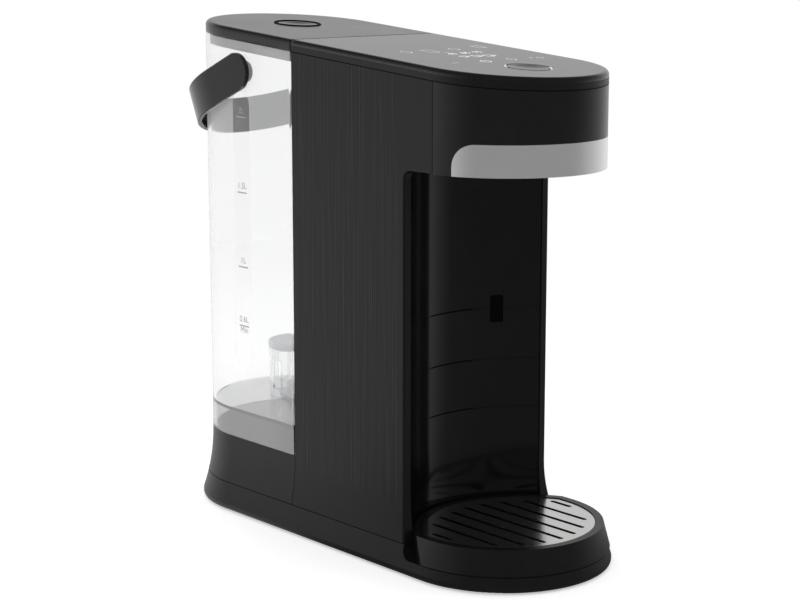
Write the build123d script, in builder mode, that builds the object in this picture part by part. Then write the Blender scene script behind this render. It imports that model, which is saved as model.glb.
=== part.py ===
from build123d import *
from math import cos, radians, sin, sqrt
import os

os.makedirs("parts", exist_ok=True)

# A hot water dispenser, in millimetres: +Z up, -Y towards the spout, +Y towards the tank.
# The origin is on the floor, under the middle of the whole footprint with the tank's handle.
# Seen from above, the body is a slot with a round front and a round back.

# Body outline
body_radius = 55.6
end_spacing = 181.0
front_axis_y = -93.0
back_axis_y = front_axis_y + end_spacing

# Heights of the seams, and the tilt of the top down towards the spout
foot_height = 2.8
base_low = 1.2
tongue_z = 9.65
base_seam_z = 17.5
tank_deck_z = 46.8
rim_z = 274.1
head_height = 49.5
form_top = 330.0
top_tilt = 4.7
collar_height = 3.5
cover_thickness = 3.0
top_round = 2.6

# Flare of the foot: how far it spreads, and the heights between which it curves
flare_reach = 6.6
flare_low = 5.0
flare_top = 45.0
foot_round = 2.4

# Seams seen from the side, measured back from the front axis
head_seam_forward = 2.0
column_setback = 20.4
step_setback = 16.9
corner_round = 5.0
step_round = 6.0
lip_round = 1.5
panel_round = 1.2

# Walls and clearances
wall = 2.4
pan_wall = 3.2
seam_gap = 0.4
lift_gap = 0.6
slide_gap = 0.3
fit_gap = 0.1
pin_gap = 0.05
overrun = 20.0

# Bay behind the cup: a hollow wall between two lips, wider than the body's round ends
lip_width = 5.0
lip_depth = 4.0
bay_spread = 12.4
bay_depth = 43.8
bay_wall_thickness = 2.4
groove_heights = (77.4, 106.2, 136.3)
groove_depth = 0.5
groove_height = 0.7
window_angle = 26.5
window_z = 136.0
window_width = 8.0
window_height = 16.0
window_round = 1.2
window_recess = 0.4
window_thickness = 1.5

# Spout head, its band and its nozzle
band_depth = 0.8
band_height = 17.2
band_end_forward = 14.6
band_round = 12.6
spout_plate_thickness = 2.4
nozzle_forward = 2.0
nozzle_radius = 6.5
nozzle_flange_radius = 10.0
nozzle_flange = 1.6
nozzle_drop = 4.6
nozzle_bore = 2.4
aerator_radius = 4.4
aerator_height = 3.0

# Drip tray and grille, concentric with the round front and with the bay
tray_overhang = 2.0
tray_slant = 3.7
tray_height = 14.75
tray_bay_gap = 2.2
tray_rim = 4.9
tray_floor = 2.4
tray_chamfer = 0.8
tray_corner = 8.0
grille_thickness = 1.2
grille_recess = 0.5
ledge_width = 2.3
slot_count = 9
slot_width = 3.0
slot_margin = 4.9
slot_spread_share = 0.98

# Base, its bottom plate, feet and screws
deck_thickness = 2.4
plate_thickness = 2.0
boss_radius = 4.0
screw_radius = 1.5
screw_head_radius = 3.0
screw_head_height = 1.2
screw_length = 3.6
plate_hole_radius = 1.8
foot_radius = 7.5
foot_inset = 15.0
foot_spread = 36.0
foot_chamfer = 0.8
vent_count = 7
vent_pitch = 7.0
vent_width = 2.4
vent_length = 40.0
gland_radius = 5.0
gland_bore = 3.6
gland_flange_radius = 6.4
gland_length = 10.0
gland_z = 10.6

# Tank
tank_wall = 2.0
skirt_rise = 17.6
tank_round = 2.0
valve_bore = 9.0
skirt_depth = 6.2
skirt_inset = 3.0
lid_wall = 4.8
lid_top = 2.2
seal_height = 5.8

# Filter cup over the tank's valve
filter_radius = 19.0
filter_height = 35.0
filter_wall = 1.5
filter_cap_height = 4.2
filter_window_count = 8
filter_window_width = 8.0
filter_window_low = 6.0
filter_window_high = 24.0

# Tank valve: body, plunger, washer and spring
valve_flange_radius = 13.0
valve_flange = 2.0
valve_stub_radius = 8.5
valve_stub_drop = 12.4
valve_seat = 2.0
valve_seat_radius = 4.0
valve_chamber_radius = 6.6
valve_chamber_rise = 7.6
valve_lift = 2.0
washer_radius = 5.6
washer_thickness = 0.8
plunger_thickness = 1.6
stem_radius = 1.5
stem_rise = 4.0
spring_radius = 4.0
spring_wire = 0.5
spring_turns = 4
guide_hole_count = 6
guide_hole_radius = 1.3
guide_hole_ring = 4.1

# Dock under the tank
dock_flange_radius = 17.0
dock_flange = 1.6
dock_tube_radius = 12.0
dock_tube_gap = 2.4
dock_drop = 8.0
dock_floor = 2.4
dock_pin_radius = 1.2
dock_cup_radius = 10.0
dock_seal_rise = 3.0
dock_seal_height = 2.0

# Lid button on the axis of the round back
lid_button_radius = 13.5
lid_button_gap = 0.5
lid_button_dish = 1.0
lid_button_dish_radius = 60.0
lid_button_stem = 3.0
well_floor = 1.4
well_depth = 8.0
lid_spring_radius = 5.5
lid_spring_wire = 0.35
lid_spring_turns = 2

# Carrying handle: a flat strap round the tank, hanging back at rest
pivot_setback = 164.2
pivot_z = 269.7
handle_droop = 23.4
strap_width = 22.4
strap_thickness = 2.8
strap_clearance = 2.8
strap_arm = 26.6
strap_chamfer = 0.6
hub_radius = 6.0
hub_gap = 0.5
pin_radius = 3.0
pin_reach = 4.6
pin_head_radius = 6.2
pin_head = 2.2

# Dispense button on the front of the top, its dome and switch
button_edge = 38.6
button_radius = 12.3
button_gap = 0.4
button_travel = 1.2
button_dish = 0.9
button_dish_radius = 70.0
button_stem_radius = 3.0
dome_radius = 4.0
dome_wall = 0.8
board_drop = 10.5
board_thickness = 1.6
board_width = 74.0
board_length = 100.0
board_margin = 5.0
switch_size = 6.0
switch_height = 3.0
icon_back = 38.0
icon_columns = 4
icon_rows = 3
icon_pitch_x = 11.0
icon_pitch_y = 10.0
led_size = 2.6
led_height = 1.2
frame_web = 1.6
frame_ring = 4.0
frame_bar = 8.0
frame_post_radius = 3.0

# Bulkhead between the tank and the works
bulkhead_thickness = 2.4
hose_hole_radius = 8.0

# Pump, on a line from the dock
pump_z = 36.0
motor_gap = 9.8
works_gap = 6.2
motor_radius = 12.5
motor_length = 26.0
volute_radius = 16.0
volute_wall = 2.0
volute_depth = 12.0
impeller_radius = 12.0
impeller_disc = 1.4
vane_count = 6
vane_height = 4.0
vane_thickness = 1.2
hub_vane_radius = 3.4
shaft_radius = 1.5
shaft_sink = 14.0
spigot_radius = 3.4
spigot_bore = 2.2
spigot_length = 8.0
outlet_side = 12.0
cradle_width = 22.0
cradle_rise = 12.5

# Flow meter and heater, stacked over the pump's outlet
meter_radius = 9.0
spigot_gap = 2.0
meter_height = 14.0
heater_radius = 18.0
heater_headroom = 21.6
heater_cap = 5.0
heater_cap_radius = 15.0
strap_ring = 2.4
strap_ring_height = 12.0
strap_ring_shares = (0.22, 0.78)
strut_width = 14.0
cutout_radius = 7.0
cutout_height = 5.0
cutout_shares = (0.4, 0.62)

# Hoses and clamps
hose_wall = 1.8
hose_rise_share = 0.43
hose_bend = 15.0
clamp_wall = 1.0
clamp_width = 4.0

# Power board on posts from the left panel
power_post = 8.0
power_post_radius = 3.0
power_length = 54.0
power_height = 88.0
power_low = 122.0
power_back = 50.0
power_inset = 6.0
transformer_size = (16.0, 24.0, 22.0)
capacitor_radius = 5.0
capacitor_height = 16.0
relay_size = (13.0, 18.0, 12.0)

# Places that follow from the sizes above
mid_axis_y = (front_axis_y + back_axis_y) / 2
bay_radius = body_radius + bay_spread
bay_axis_y = front_axis_y + bay_depth - bay_radius
bay_back_y = front_axis_y + bay_depth + bay_wall_thickness
motor_y = bay_back_y + motor_gap
volute_y = motor_y + motor_length
outlet_y = volute_y + volute_depth / 2
seam_y = outlet_y + heater_radius + strap_ring + works_gap + bulkhead_thickness
seam_setback = seam_y - front_axis_y
tank_front_y = seam_y + lift_gap
column_y = front_axis_y + column_setback
head_seam_y = front_axis_y - head_seam_forward
lip_x = body_radius - lip_width
head_low_z = rim_z - head_height
tank_floor_z = tank_deck_z + skirt_rise
flare_radius = (flare_reach**2 + (flare_top - flare_low) ** 2) / (2 * flare_reach)
rim_plane = Plane(
    origin=(0, front_axis_y, rim_z),
    x_dir=(1, 0, 0),
    z_dir=(0, -sin(radians(top_tilt)), cos(radians(top_tilt))),
)
collar_plane = rim_plane.offset(collar_height)
top_plane = collar_plane.offset(cover_thickness)
top_height = collar_height + cover_thickness
button_forward = body_radius - button_edge
board_back = board_length / 2 - board_margin - button_forward
full_length = end_spacing + 2 * (body_radius + flare_reach)
full_width = 2 * (body_radius + flare_reach)
hose_bore = spigot_radius + pin_gap
hose_radius = hose_bore + hose_wall


def flare_at(height):
    # How far the foot stands out from the straight side at a height
    return flare_radius - sqrt(flare_radius**2 - max(flare_top - height, 0) ** 2)


def flare_section(inset, edge_round):
    # Half of the body cut across: upright above, spreading in a hollow curve to the floor
    side = body_radius - inset
    foot = side + flare_reach
    with BuildSketch() as section:
        with BuildLine():
            Polyline((0, form_top), (0, base_low), (foot, base_low), (foot, flare_low))
            TangentArc((side, flare_top), (foot, flare_low), tangent=(0, -1))
            Polyline((side, flare_top), (side, form_top), (0, form_top))
        make_face()
        if edge_round:
            fillet(section.vertices().sort_by_distance((foot, base_low))[0], edge_round)
    return section.sketch


def flared_slot(inset, edge_round=0):
    # The half section turned about each round end and drawn straight between them
    half = flare_section(inset, edge_round)
    with BuildPart() as slot:
        for axis_y, turn in ((front_axis_y, -1), (back_axis_y, 1)):
            with BuildSketch(Plane.XZ.offset(-axis_y)):
                add(half)
            revolve(axis=Axis((0, axis_y, 0), (0, 0, turn)), revolution_arc=180)
        with BuildSketch(Plane.XZ.offset(-front_axis_y)):
            add(half)
            mirror(about=Plane.YZ)
        extrude(amount=-end_spacing)
    return slot.part


def tank_outline(inset):
    # The round back and its straight sides, up to the face next to the column
    radius = body_radius - inset
    with Locations((0, back_axis_y)):
        Circle(radius)
        Rectangle(2 * radius, back_axis_y - tank_front_y - inset, align=(Align.CENTER, Align.MAX))
    with Locations((0, tank_front_y + inset)):
        Rectangle(
            2 * radius, full_length, align=(Align.CENTER, Align.MIN), mode=Mode.INTERSECT
        )


def cover_outline(inset):
    # The round front and its straight sides, back to the seam with the tank
    radius = body_radius - inset
    with Locations((0, front_axis_y)):
        Circle(radius)
        Rectangle(2 * radius, seam_setback - inset, align=(Align.CENTER, Align.MIN))


def tray_outline(radius, back_radius):
    # The round front, cut off behind by an arc that follows the bay's wall
    with Locations((0, front_axis_y)):
        Circle(radius)
        Rectangle(2 * radius, bay_radius, align=(Align.CENTER, Align.MIN))
    with Locations((0, bay_axis_y)):
        Circle(back_radius, mode=Mode.INTERSECT)


def tilted_slab(outline, inset, low, high, corner=0):
    # What stands on a plan outline between two planes that follow the tilted rim
    with BuildPart() as slab:
        with BuildSketch() as plan:
            outline(inset)
            if corner:
                fillet(plan.vertices().group_by(Axis.Y)[0], corner)
        extrude(amount=form_top)
        split(bisect_by=rim_plane.offset(low), keep=Keep.TOP)
        split(bisect_by=rim_plane.offset(high), keep=Keep.BOTTOM)
    return slab.part


def rim_spot(setback, height, side=0):
    # A level-headed plane on the tilted top, at a distance behind the front axis
    return Plane(
        origin=rim_plane.from_local_coords(
            (side, setback / cos(radians(top_tilt)), height)
        ),
        x_dir=rim_plane.x_dir,
        z_dir=rim_plane.z_dir,
    )


def hose_run(points, bend=0):
    # A hose along straight runs, joined by tangent arcs where it bends
    with BuildPart() as hose:
        with BuildLine() as route:
            if bend:
                FilletPolyline(*points, radius=bend)
            else:
                Line(*points)
        with BuildSketch(Plane(origin=route.line @ 0, z_dir=route.line % 0)):
            Circle(hose_radius)
            Circle(hose_bore, mode=Mode.SUBTRACT)
        sweep(path=route.line)
    return hose.part


def coil_spring(place, height, radius, wire, turns):
    # One unbroken wire wound about an upright or tilted axis
    with BuildPart() as coil:
        with BuildLine(place.offset(wire + pin_gap)) as winding:
            rise = height - 2 * (wire + pin_gap)
            Helix(
                pitch=rise / turns, height=rise, radius=radius, direction=place.z_dir
            )
        with BuildSketch(Plane(origin=winding.line @ 0, z_dir=winding.line % 0)):
            RegularPolygon(wire, 6)
        sweep(path=winding.line, is_frenet=True)
    return coil.part


# Solid forms that the covers are cut from
body_form = flared_slot(0, foot_round)
wall_form = flared_slot(wall)
pan_form = flared_slot(pan_wall)

with BuildPart() as panel_hollow:
    add(wall_form)
    with Locations((0, column_y + lip_depth, head_low_z)):
        Box(
            full_width,
            full_length,
            form_top,
            align=(Align.CENTER, Align.MAX, Align.MAX),
            mode=Mode.SUBTRACT,
        )
    with Locations((0, mid_axis_y, 0)):
        Box(2 * lip_x, full_length, form_top, align=(Align.CENTER, Align.CENTER, Align.MIN))


# Base pan: a low tongue under the tray and a taller deck under the column
step_y = front_axis_y + step_setback

with BuildPart() as base_pan:
    add(body_form)
    split(bisect_by=Plane.XY.offset(base_seam_z), keep=Keep.BOTTOM)
    with BuildSketch(Plane.YZ) as step:
        with Locations((step_y, tongue_z)):
            Rectangle(full_length, base_seam_z, align=(Align.MAX, Align.MIN))
        fillet(step.vertices().sort_by_distance((step_y, tongue_z))[0], step_round)
    extrude(amount=full_width, both=True, mode=Mode.SUBTRACT)
    with BuildSketch(Plane.XY.offset(tongue_z)):
        with Locations((0, bay_axis_y)):
            Circle(bay_radius)
        with Locations((0, step_y - step_round)):
            Rectangle(
                2 * lip_x, bay_radius, align=(Align.CENTER, Align.MIN), mode=Mode.INTERSECT
            )
    extrude(amount=base_seam_z, mode=Mode.SUBTRACT)

with BuildPart() as pan_tongue_hollow:
    add(pan_form)
    split(bisect_by=Plane.XY.offset(tongue_z - deck_thickness), keep=Keep.BOTTOM)

with BuildPart() as pan_deck_hollow:
    add(pan_form)
    split(bisect_by=Plane.XY.offset(base_seam_z - deck_thickness), keep=Keep.BOTTOM)
    split(bisect_by=Plane.XZ.offset(-(step_y + pan_wall)), keep=Keep.BOTTOM)
    with Locations((0, bay_axis_y, 0)):
        Cylinder(
            bay_radius + pan_wall,
            form_top,
            align=(Align.CENTER, Align.CENTER, Align.MIN),
            mode=Mode.SUBTRACT,
        )

plate_low = foot_height
plate_top = plate_low + plate_thickness
foot_places = [
    (side * foot_spread, axis_y + end * foot_inset)
    for axis_y, end in ((front_axis_y, -1), (back_axis_y, 1))
    for side in (-1, 1)
]
boss_places = [
    (side * foot_spread, y)
    for y in (front_axis_y + foot_inset, mid_axis_y + foot_inset, back_axis_y - foot_inset)
    for side in (-1, 1)
]

with base_pan:
    add(pan_tongue_hollow.part, mode=Mode.SUBTRACT)
    add(pan_deck_hollow.part, mode=Mode.SUBTRACT)
    for x, y in boss_places:
        ceiling = tongue_z if y < step_y else base_seam_z
        with BuildSketch(Plane.XY.offset(plate_top)):
            with Locations((x, y)):
                Circle(boss_radius)
        extrude(amount=ceiling - deck_thickness / 2 - plate_top)
        with BuildSketch(Plane.XY.offset(plate_top)):
            with Locations((x, y)):
                Circle(screw_radius + pin_gap)
        extrude(amount=screw_length, mode=Mode.SUBTRACT)
    with BuildSketch(Plane.XZ.offset(-back_axis_y)):
        with Locations((0, gland_z)):
            Circle(gland_radius + pin_gap)
    extrude(amount=-full_width, mode=Mode.SUBTRACT)
base_pan.part.label = "base_pan"
export_step(base_pan.part, "parts/base_pan.step")


# Bottom plate: closes the base from below, with vents and screw holes
with BuildPart() as bottom_plate:
    with BuildSketch(Plane.XY.offset(plate_low)):
        with Locations((0, mid_axis_y)):
            SlotCenterToCenter(
                end_spacing,
                2 * (body_radius + flare_reach - pan_wall - slide_gap),
                rotation=90,
            )
        with Locations(*boss_places):
            Circle(plate_hole_radius, mode=Mode.SUBTRACT)
        with Locations((0, mid_axis_y)):
            with GridLocations(0, vent_pitch, 1, vent_count):
                SlotOverall(vent_length, vent_width, mode=Mode.SUBTRACT)
    extrude(amount=plate_thickness)
bottom_plate.part.label = "bottom_plate"
export_step(bottom_plate.part, "parts/bottom_plate.step")


# Rubber feet under the bottom plate
with BuildPart() as rubber_feet:
    with BuildSketch():
        with Locations(*foot_places):
            Circle(foot_radius)
    extrude(amount=foot_height)
    chamfer(rubber_feet.edges().group_by(Axis.Z)[0], foot_chamfer)
rubber_feet.part.label = "rubber_feet"
export_step(rubber_feet.part, "parts/rubber_feet.step")


# Screws that hold the bottom plate
with BuildPart() as base_screws:
    with BuildSketch(Plane.XY.offset(plate_low - screw_head_height)):
        with Locations(*boss_places):
            Circle(screw_head_radius)
    extrude(amount=screw_head_height)
    with BuildSketch(Plane.XY.offset(plate_low)):
        with Locations(*boss_places):
            Circle(screw_radius)
    extrude(amount=plate_thickness + screw_length - pin_gap)
base_screws.part.label = "base_screws"
export_step(base_screws.part, "parts/base_screws.step")


# Gland in the back of the base, where the mains lead would come out
gland_end_y = back_axis_y + body_radius + flare_reach
gland_start = Plane.XZ.offset(-(gland_end_y - gland_length))

with BuildPart() as cord_gland:
    with BuildSketch(gland_start):
        with Locations((0, gland_z)):
            Circle(gland_flange_radius)
    extrude(amount=-gland_length)
    add(body_form, mode=Mode.SUBTRACT)
    with BuildSketch(gland_start):
        with Locations((0, gland_z)):
            Circle(gland_radius)
    extrude(amount=-gland_length)
    with BuildSketch(gland_start):
        with Locations((0, gland_z)):
            Circle(gland_bore)
    extrude(amount=-gland_length, mode=Mode.SUBTRACT)
cord_gland.part.label = "cord_gland"
export_step(cord_gland.part, "parts/cord_gland.step")


# Side panels: one on each side, from the tank's seam forward over the cup
with BuildPart() as left_side_panel:
    add(body_form)
    add(panel_hollow.part, mode=Mode.SUBTRACT)
    with BuildSketch(Plane.YZ) as side_view:
        foot_y = column_y - flare_at(base_seam_z)
        with BuildLine():
            Polyline((foot_y, base_seam_z), (seam_y, base_seam_z), (seam_y, form_top))
            Polyline(
                (seam_y, form_top),
                (head_seam_y + seam_gap / 2, form_top),
                (head_seam_y + seam_gap / 2, head_low_z),
                (column_y, head_low_z),
                (column_y, flare_top),
            )
            TangentArc((column_y, flare_top), (foot_y, base_seam_z), tangent=(0, -1))
        make_face()
        fillet(
            side_view.vertices().sort_by_distance((column_y, head_low_z))[0], corner_round
        )
    extrude(amount=-full_width, mode=Mode.INTERSECT)
    split(bisect_by=rim_plane, keep=Keep.BOTTOM)
    front_edge = left_side_panel.edges().filter_by(Axis.Z).sort_by_distance(
        (-body_radius, column_y, (flare_top + head_low_z) / 2)
    )[0]
    fillet(front_edge, panel_round)

with BuildPart() as right_side_panel:
    mirror(left_side_panel.part, about=Plane.YZ)

power_x = -(body_radius - wall - power_post)
power_posts = [
    (seam_y - power_back + along * (power_length / 2 - power_inset),
     power_low + power_height / 2 + up * (power_height / 2 - power_inset))
    for along in (-1, 1)
    for up in (-1, 1)
]

with left_side_panel:
    with BuildSketch(Plane.YZ.offset(power_x)):
        with Locations(*power_posts):
            Circle(power_post_radius)
    extrude(amount=-(power_post + wall / 2))
left_side_panel.part.label = "left_side_panel"
right_side_panel.part.label = "right_side_panel"
export_step(left_side_panel.part, "parts/left_side_panel.step")
export_step(right_side_panel.part, "parts/right_side_panel.step")


# Rear base cover: carries the tank, with the dock's hole in its deck
with BuildPart() as rear_base_cover:
    add(body_form)
    split(bisect_by=Plane.XY.offset(base_seam_z), keep=Keep.TOP)
    split(bisect_by=Plane.XY.offset(tank_deck_z), keep=Keep.BOTTOM)
    split(bisect_by=Plane.XZ.offset(-(seam_y + seam_gap)), keep=Keep.BOTTOM)

with BuildPart() as rear_hollow:
    add(wall_form)
    split(bisect_by=Plane.XY.offset(tank_deck_z - deck_thickness), keep=Keep.BOTTOM)

with rear_base_cover:
    add(rear_hollow.part, mode=Mode.SUBTRACT)
    with BuildSketch(Plane.XY.offset(tank_deck_z)):
        with Locations((0, back_axis_y)):
            Circle(dock_tube_radius + fit_gap)
    extrude(amount=-tank_deck_z, mode=Mode.SUBTRACT)
rear_base_cover.part.label = "rear_base_cover"
export_step(rear_base_cover.part, "parts/rear_base_cover.step")


# Dock: the tube that the tank's valve plugs into, with the pin that opens it
valve_stub_low = tank_floor_z - valve_stub_drop
valve_chamber_top = tank_floor_z + valve_chamber_rise
stem_top = valve_chamber_top + stem_rise
dock_tube_top = tank_floor_z - tank_wall - dock_tube_gap
dock_low = pump_z - dock_drop
dock_seal_z = valve_stub_low + dock_seal_rise
dock_pin_top = valve_stub_low + valve_seat + valve_lift + washer_thickness
dock_spigot_y = back_axis_y - dock_tube_radius

with BuildPart() as tank_dock:
    with BuildSketch(Plane.XY.offset(dock_low)):
        with Locations((0, back_axis_y)):
            Circle(dock_tube_radius)
    extrude(amount=dock_tube_top - dock_low)
    with BuildSketch(Plane.XY.offset(tank_deck_z)):
        with Locations((0, back_axis_y)):
            Circle(dock_flange_radius)
    extrude(amount=dock_flange)
    with BuildSketch(Plane.XY.offset(dock_low + dock_floor)):
        with Locations((0, back_axis_y)):
            Circle(valve_stub_radius + slide_gap)
    extrude(amount=dock_tube_top, mode=Mode.SUBTRACT)
    with BuildSketch(Plane.XY.offset(dock_seal_z)):
        with Locations((0, back_axis_y)):
            Circle(dock_cup_radius + fit_gap)
    extrude(amount=dock_seal_height + 2 * fit_gap, mode=Mode.SUBTRACT)
    with BuildSketch(Plane.XY.offset(dock_low)):
        with Locations((0, back_axis_y)):
            Circle(dock_pin_radius)
    extrude(amount=dock_pin_top - dock_low)
    with BuildSketch(Plane.XZ.offset(-(dock_spigot_y + valve_chamber_radius / 2))):
        with Locations((0, pump_z)):
            Circle(spigot_radius)
    extrude(amount=spigot_length + valve_chamber_radius / 2)
    with BuildSketch(Plane.XZ.offset(-(dock_spigot_y + valve_chamber_radius))):
        with Locations((0, pump_z)):
            Circle(spigot_bore)
    extrude(amount=spigot_length + valve_chamber_radius, mode=Mode.SUBTRACT)
tank_dock.part.label = "tank_dock"
export_step(tank_dock.part, "parts/tank_dock.step")

with BuildPart() as dock_seal:
    with BuildSketch(Plane.XY.offset(dock_seal_z + fit_gap)):
        with Locations((0, back_axis_y)):
            Circle(dock_cup_radius)
            Circle(valve_stub_radius + slide_gap, mode=Mode.SUBTRACT)
    extrude(amount=dock_seal_height)
dock_seal.part.label = "dock_seal"
export_step(dock_seal.part, "parts/dock_seal.step")


# Bulkhead between the tank's bay and the works
with BuildPart() as bulkhead:
    with BuildSketch(Plane.XZ.offset(-(seam_y - bulkhead_thickness))):
        with Locations((0, base_seam_z)):
            Rectangle(
                2 * (body_radius - wall - fit_gap), form_top, align=(Align.CENTER, Align.MIN)
            )
        with Locations((0, pump_z)):
            Circle(hose_hole_radius, mode=Mode.SUBTRACT)
    extrude(amount=-bulkhead_thickness)
    split(bisect_by=rim_plane, keep=Keep.BOTTOM)
bulkhead.part.label = "bulkhead"
export_step(bulkhead.part, "parts/bulkhead.step")


# Bay wall: the hollow wall behind the cup, with three shallow level lines and a window
window_plane = Plane(
    origin=(
        bay_radius * sin(radians(window_angle)),
        bay_axis_y + bay_radius * cos(radians(window_angle)),
        window_z,
    ),
    x_dir=(cos(radians(window_angle)), -sin(radians(window_angle)), 0),
    z_dir=(-sin(radians(window_angle)), -cos(radians(window_angle)), 0),
)

with BuildPart() as bay_wall:
    with BuildSketch(Plane.XY.offset(base_seam_z)):
        with Locations((0, bay_axis_y)):
            Circle(bay_radius + bay_wall_thickness)
            Circle(bay_radius, mode=Mode.SUBTRACT)
        with Locations((0, column_y)):
            Rectangle(
                2 * (lip_x - fit_gap),
                bay_radius,
                align=(Align.CENTER, Align.MIN),
                mode=Mode.INTERSECT,
            )
    extrude(amount=head_low_z - base_seam_z)
    for groove_z in groove_heights:
        with BuildSketch(Plane.XY.offset(groove_z)):
            with Locations((0, bay_axis_y)):
                Circle(bay_radius + groove_depth)
        extrude(amount=groove_height, mode=Mode.SUBTRACT)
    with BuildSketch(window_plane):
        RectangleRounded(window_width, window_height, window_round)
    extrude(amount=window_thickness + wall, both=True, mode=Mode.SUBTRACT)
bay_wall.part.label = "bay_wall"
export_step(bay_wall.part, "parts/bay_wall.step")

with BuildPart() as sensor_window:
    with BuildSketch(window_plane):
        RectangleRounded(
            window_width - 2 * pin_gap, window_height - 2 * pin_gap, window_round
        )
    extrude(amount=-(window_recess + window_thickness))
    with BuildSketch(window_plane):
        Rectangle(window_width, window_height)
    extrude(amount=-window_recess, mode=Mode.SUBTRACT)
sensor_window.part.label = "sensor_window"
export_step(sensor_window.part, "parts/sensor_window.step")


# Spout head: the round shell over the cup, with a sunk place for the band
band_y = front_axis_y - band_end_forward


def band_form(outer, inner, grow):
    # The band's ring, cut to its rounded upper corner as seen from the side
    with BuildPart() as band:
        with BuildSketch():
            with Locations((0, front_axis_y)):
                Circle(outer)
                Circle(inner, mode=Mode.SUBTRACT)
        extrude(amount=form_top)
        with BuildSketch(Plane.YZ) as view:
            with Locations((band_y + grow, head_low_z - grow)):
                Rectangle(full_width, band_height + 2 * grow, align=(Align.MAX, Align.MIN))
            corner = view.vertices().group_by(Axis.X)[-1].sort_by(Axis.Y)[-1]
            fillet(corner, band_round + grow)
        extrude(amount=full_width, both=True, mode=Mode.INTERSECT)
    return band.part


band_recess = band_form(full_width, body_radius - band_depth, fit_gap)
band_ring = band_form(body_radius, body_radius - band_depth + pin_gap, 0)

with BuildPart() as spout_head:
    with BuildSketch(Plane.XY.offset(head_low_z)):
        cover_outline(0)
        cover_outline(wall)
        with Locations((0, front_axis_y)):
            Circle(body_radius - wall, mode=Mode.SUBTRACT)
            Rectangle(
                2 * (body_radius - wall),
                full_length,
                align=(Align.CENTER, Align.MIN),
                mode=Mode.SUBTRACT,
            )
    extrude(amount=form_top - head_low_z)
    split(bisect_by=rim_plane, keep=Keep.BOTTOM)
    split(bisect_by=Plane.XZ.offset(-(head_seam_y - seam_gap / 2)), keep=Keep.TOP)
    add(band_recess, mode=Mode.SUBTRACT)
spout_head.part.label = "spout_head"
export_step(spout_head.part, "parts/spout_head.step")

with BuildPart() as accent_band:
    add(band_ring)
accent_band.part.label = "accent_band"
export_step(accent_band.part, "parts/accent_band.step")


# Underside of the spout head, with the nozzle's hole
nozzle_y = front_axis_y - nozzle_forward

with BuildPart() as spout_plate:
    with BuildSketch(Plane.XY.offset(head_low_z)):
        with Locations((0, front_axis_y)):
            Circle(body_radius - wall - fit_gap)
            Rectangle(
                2 * (body_radius - wall - fit_gap),
                bay_back_y - front_axis_y,
                align=(Align.CENTER, Align.MIN),
            )
        with Locations((0, nozzle_y)):
            Circle(nozzle_radius + fit_gap, mode=Mode.SUBTRACT)
    extrude(amount=spout_plate_thickness)
spout_plate.part.label = "spout_plate"
export_step(spout_plate.part, "parts/spout_plate.step")


# Nozzle, with the round strainer in its mouth
nozzle_low = head_low_z - nozzle_drop
nozzle_seat = head_low_z + spout_plate_thickness
nozzle_top = nozzle_seat + nozzle_flange

with BuildPart() as nozzle:
    with BuildSketch(Plane.XZ.offset(-nozzle_y)):
        with BuildLine():
            Polyline(
                (nozzle_bore, nozzle_low + aerator_height),
                (aerator_radius + fit_gap, nozzle_low + aerator_height),
                (aerator_radius + fit_gap, nozzle_low),
                (nozzle_radius - lip_round, nozzle_low),
                (nozzle_radius, nozzle_low + lip_round),
                (nozzle_radius, nozzle_seat),
                (nozzle_flange_radius, nozzle_seat),
                (nozzle_flange_radius, nozzle_top),
                (spigot_radius, nozzle_top),
                (spigot_radius, nozzle_top + spigot_length),
                (nozzle_bore, nozzle_top + spigot_length),
                close=True,
            )
        make_face()
    revolve(axis=Axis((0, nozzle_y, 0), (0, 0, 1)))
nozzle.part.label = "nozzle"
export_step(nozzle.part, "parts/nozzle.step")

with BuildPart() as nozzle_strainer:
    with BuildSketch(Plane.XY.offset(nozzle_low)):
        with Locations((0, nozzle_y)):
            Circle(aerator_radius)
            with PolarLocations(aerator_radius / 2, guide_hole_count):
                Circle(guide_hole_radius / 2, mode=Mode.SUBTRACT)
    extrude(amount=aerator_height)
nozzle_strainer.part.label = "nozzle_strainer"
export_step(nozzle_strainer.part, "parts/nozzle_strainer.step")


# Collar: the frame under the top cover, with posts that hold the control board
frame_ring_form = tilted_slab(cover_outline, 0, 0, collar_height)
frame_hole_form = tilted_slab(cover_outline, frame_ring, -overrun, overrun)
frame_bar_low = collar_height - button_travel - slide_gap - frame_web
board_top = -(board_drop - board_thickness)
board_corners = [
    (
        side * (board_width / 2 - power_inset),
        board_back + end * (board_length / 2 - power_inset),
    )
    for side in (-1, 1)
    for end in (-1, 1)
]

with BuildPart() as top_collar:
    add(frame_ring_form)
    add(frame_hole_form, mode=Mode.SUBTRACT)
    with BuildSketch(rim_plane.offset(frame_bar_low)):
        for x, along in board_corners[:2]:
            with Locations((0, along)):
                Rectangle(2 * (body_radius - frame_ring), frame_bar)
        with Locations((0, -button_forward)):
            Circle(dome_radius + dome_wall + lift_gap, mode=Mode.SUBTRACT)
    extrude(amount=frame_web)
    with BuildSketch(rim_plane.offset(board_top)):
        with Locations(*board_corners):
            Circle(frame_post_radius)
    extrude(amount=frame_bar_low + frame_web / 2 - board_top)
top_collar.part.label = "top_collar"
export_step(top_collar.part, "parts/top_collar.step")


# Control board with its lights and the switch under the dispense button
with BuildPart() as control_board:
    with BuildSketch(rim_plane.offset(board_top - board_thickness)):
        with Locations((0, board_back)):
            Rectangle(board_width, board_length)
    extrude(amount=board_thickness)
control_board.part.label = "control_board"
export_step(control_board.part, "parts/control_board.step")

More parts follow.
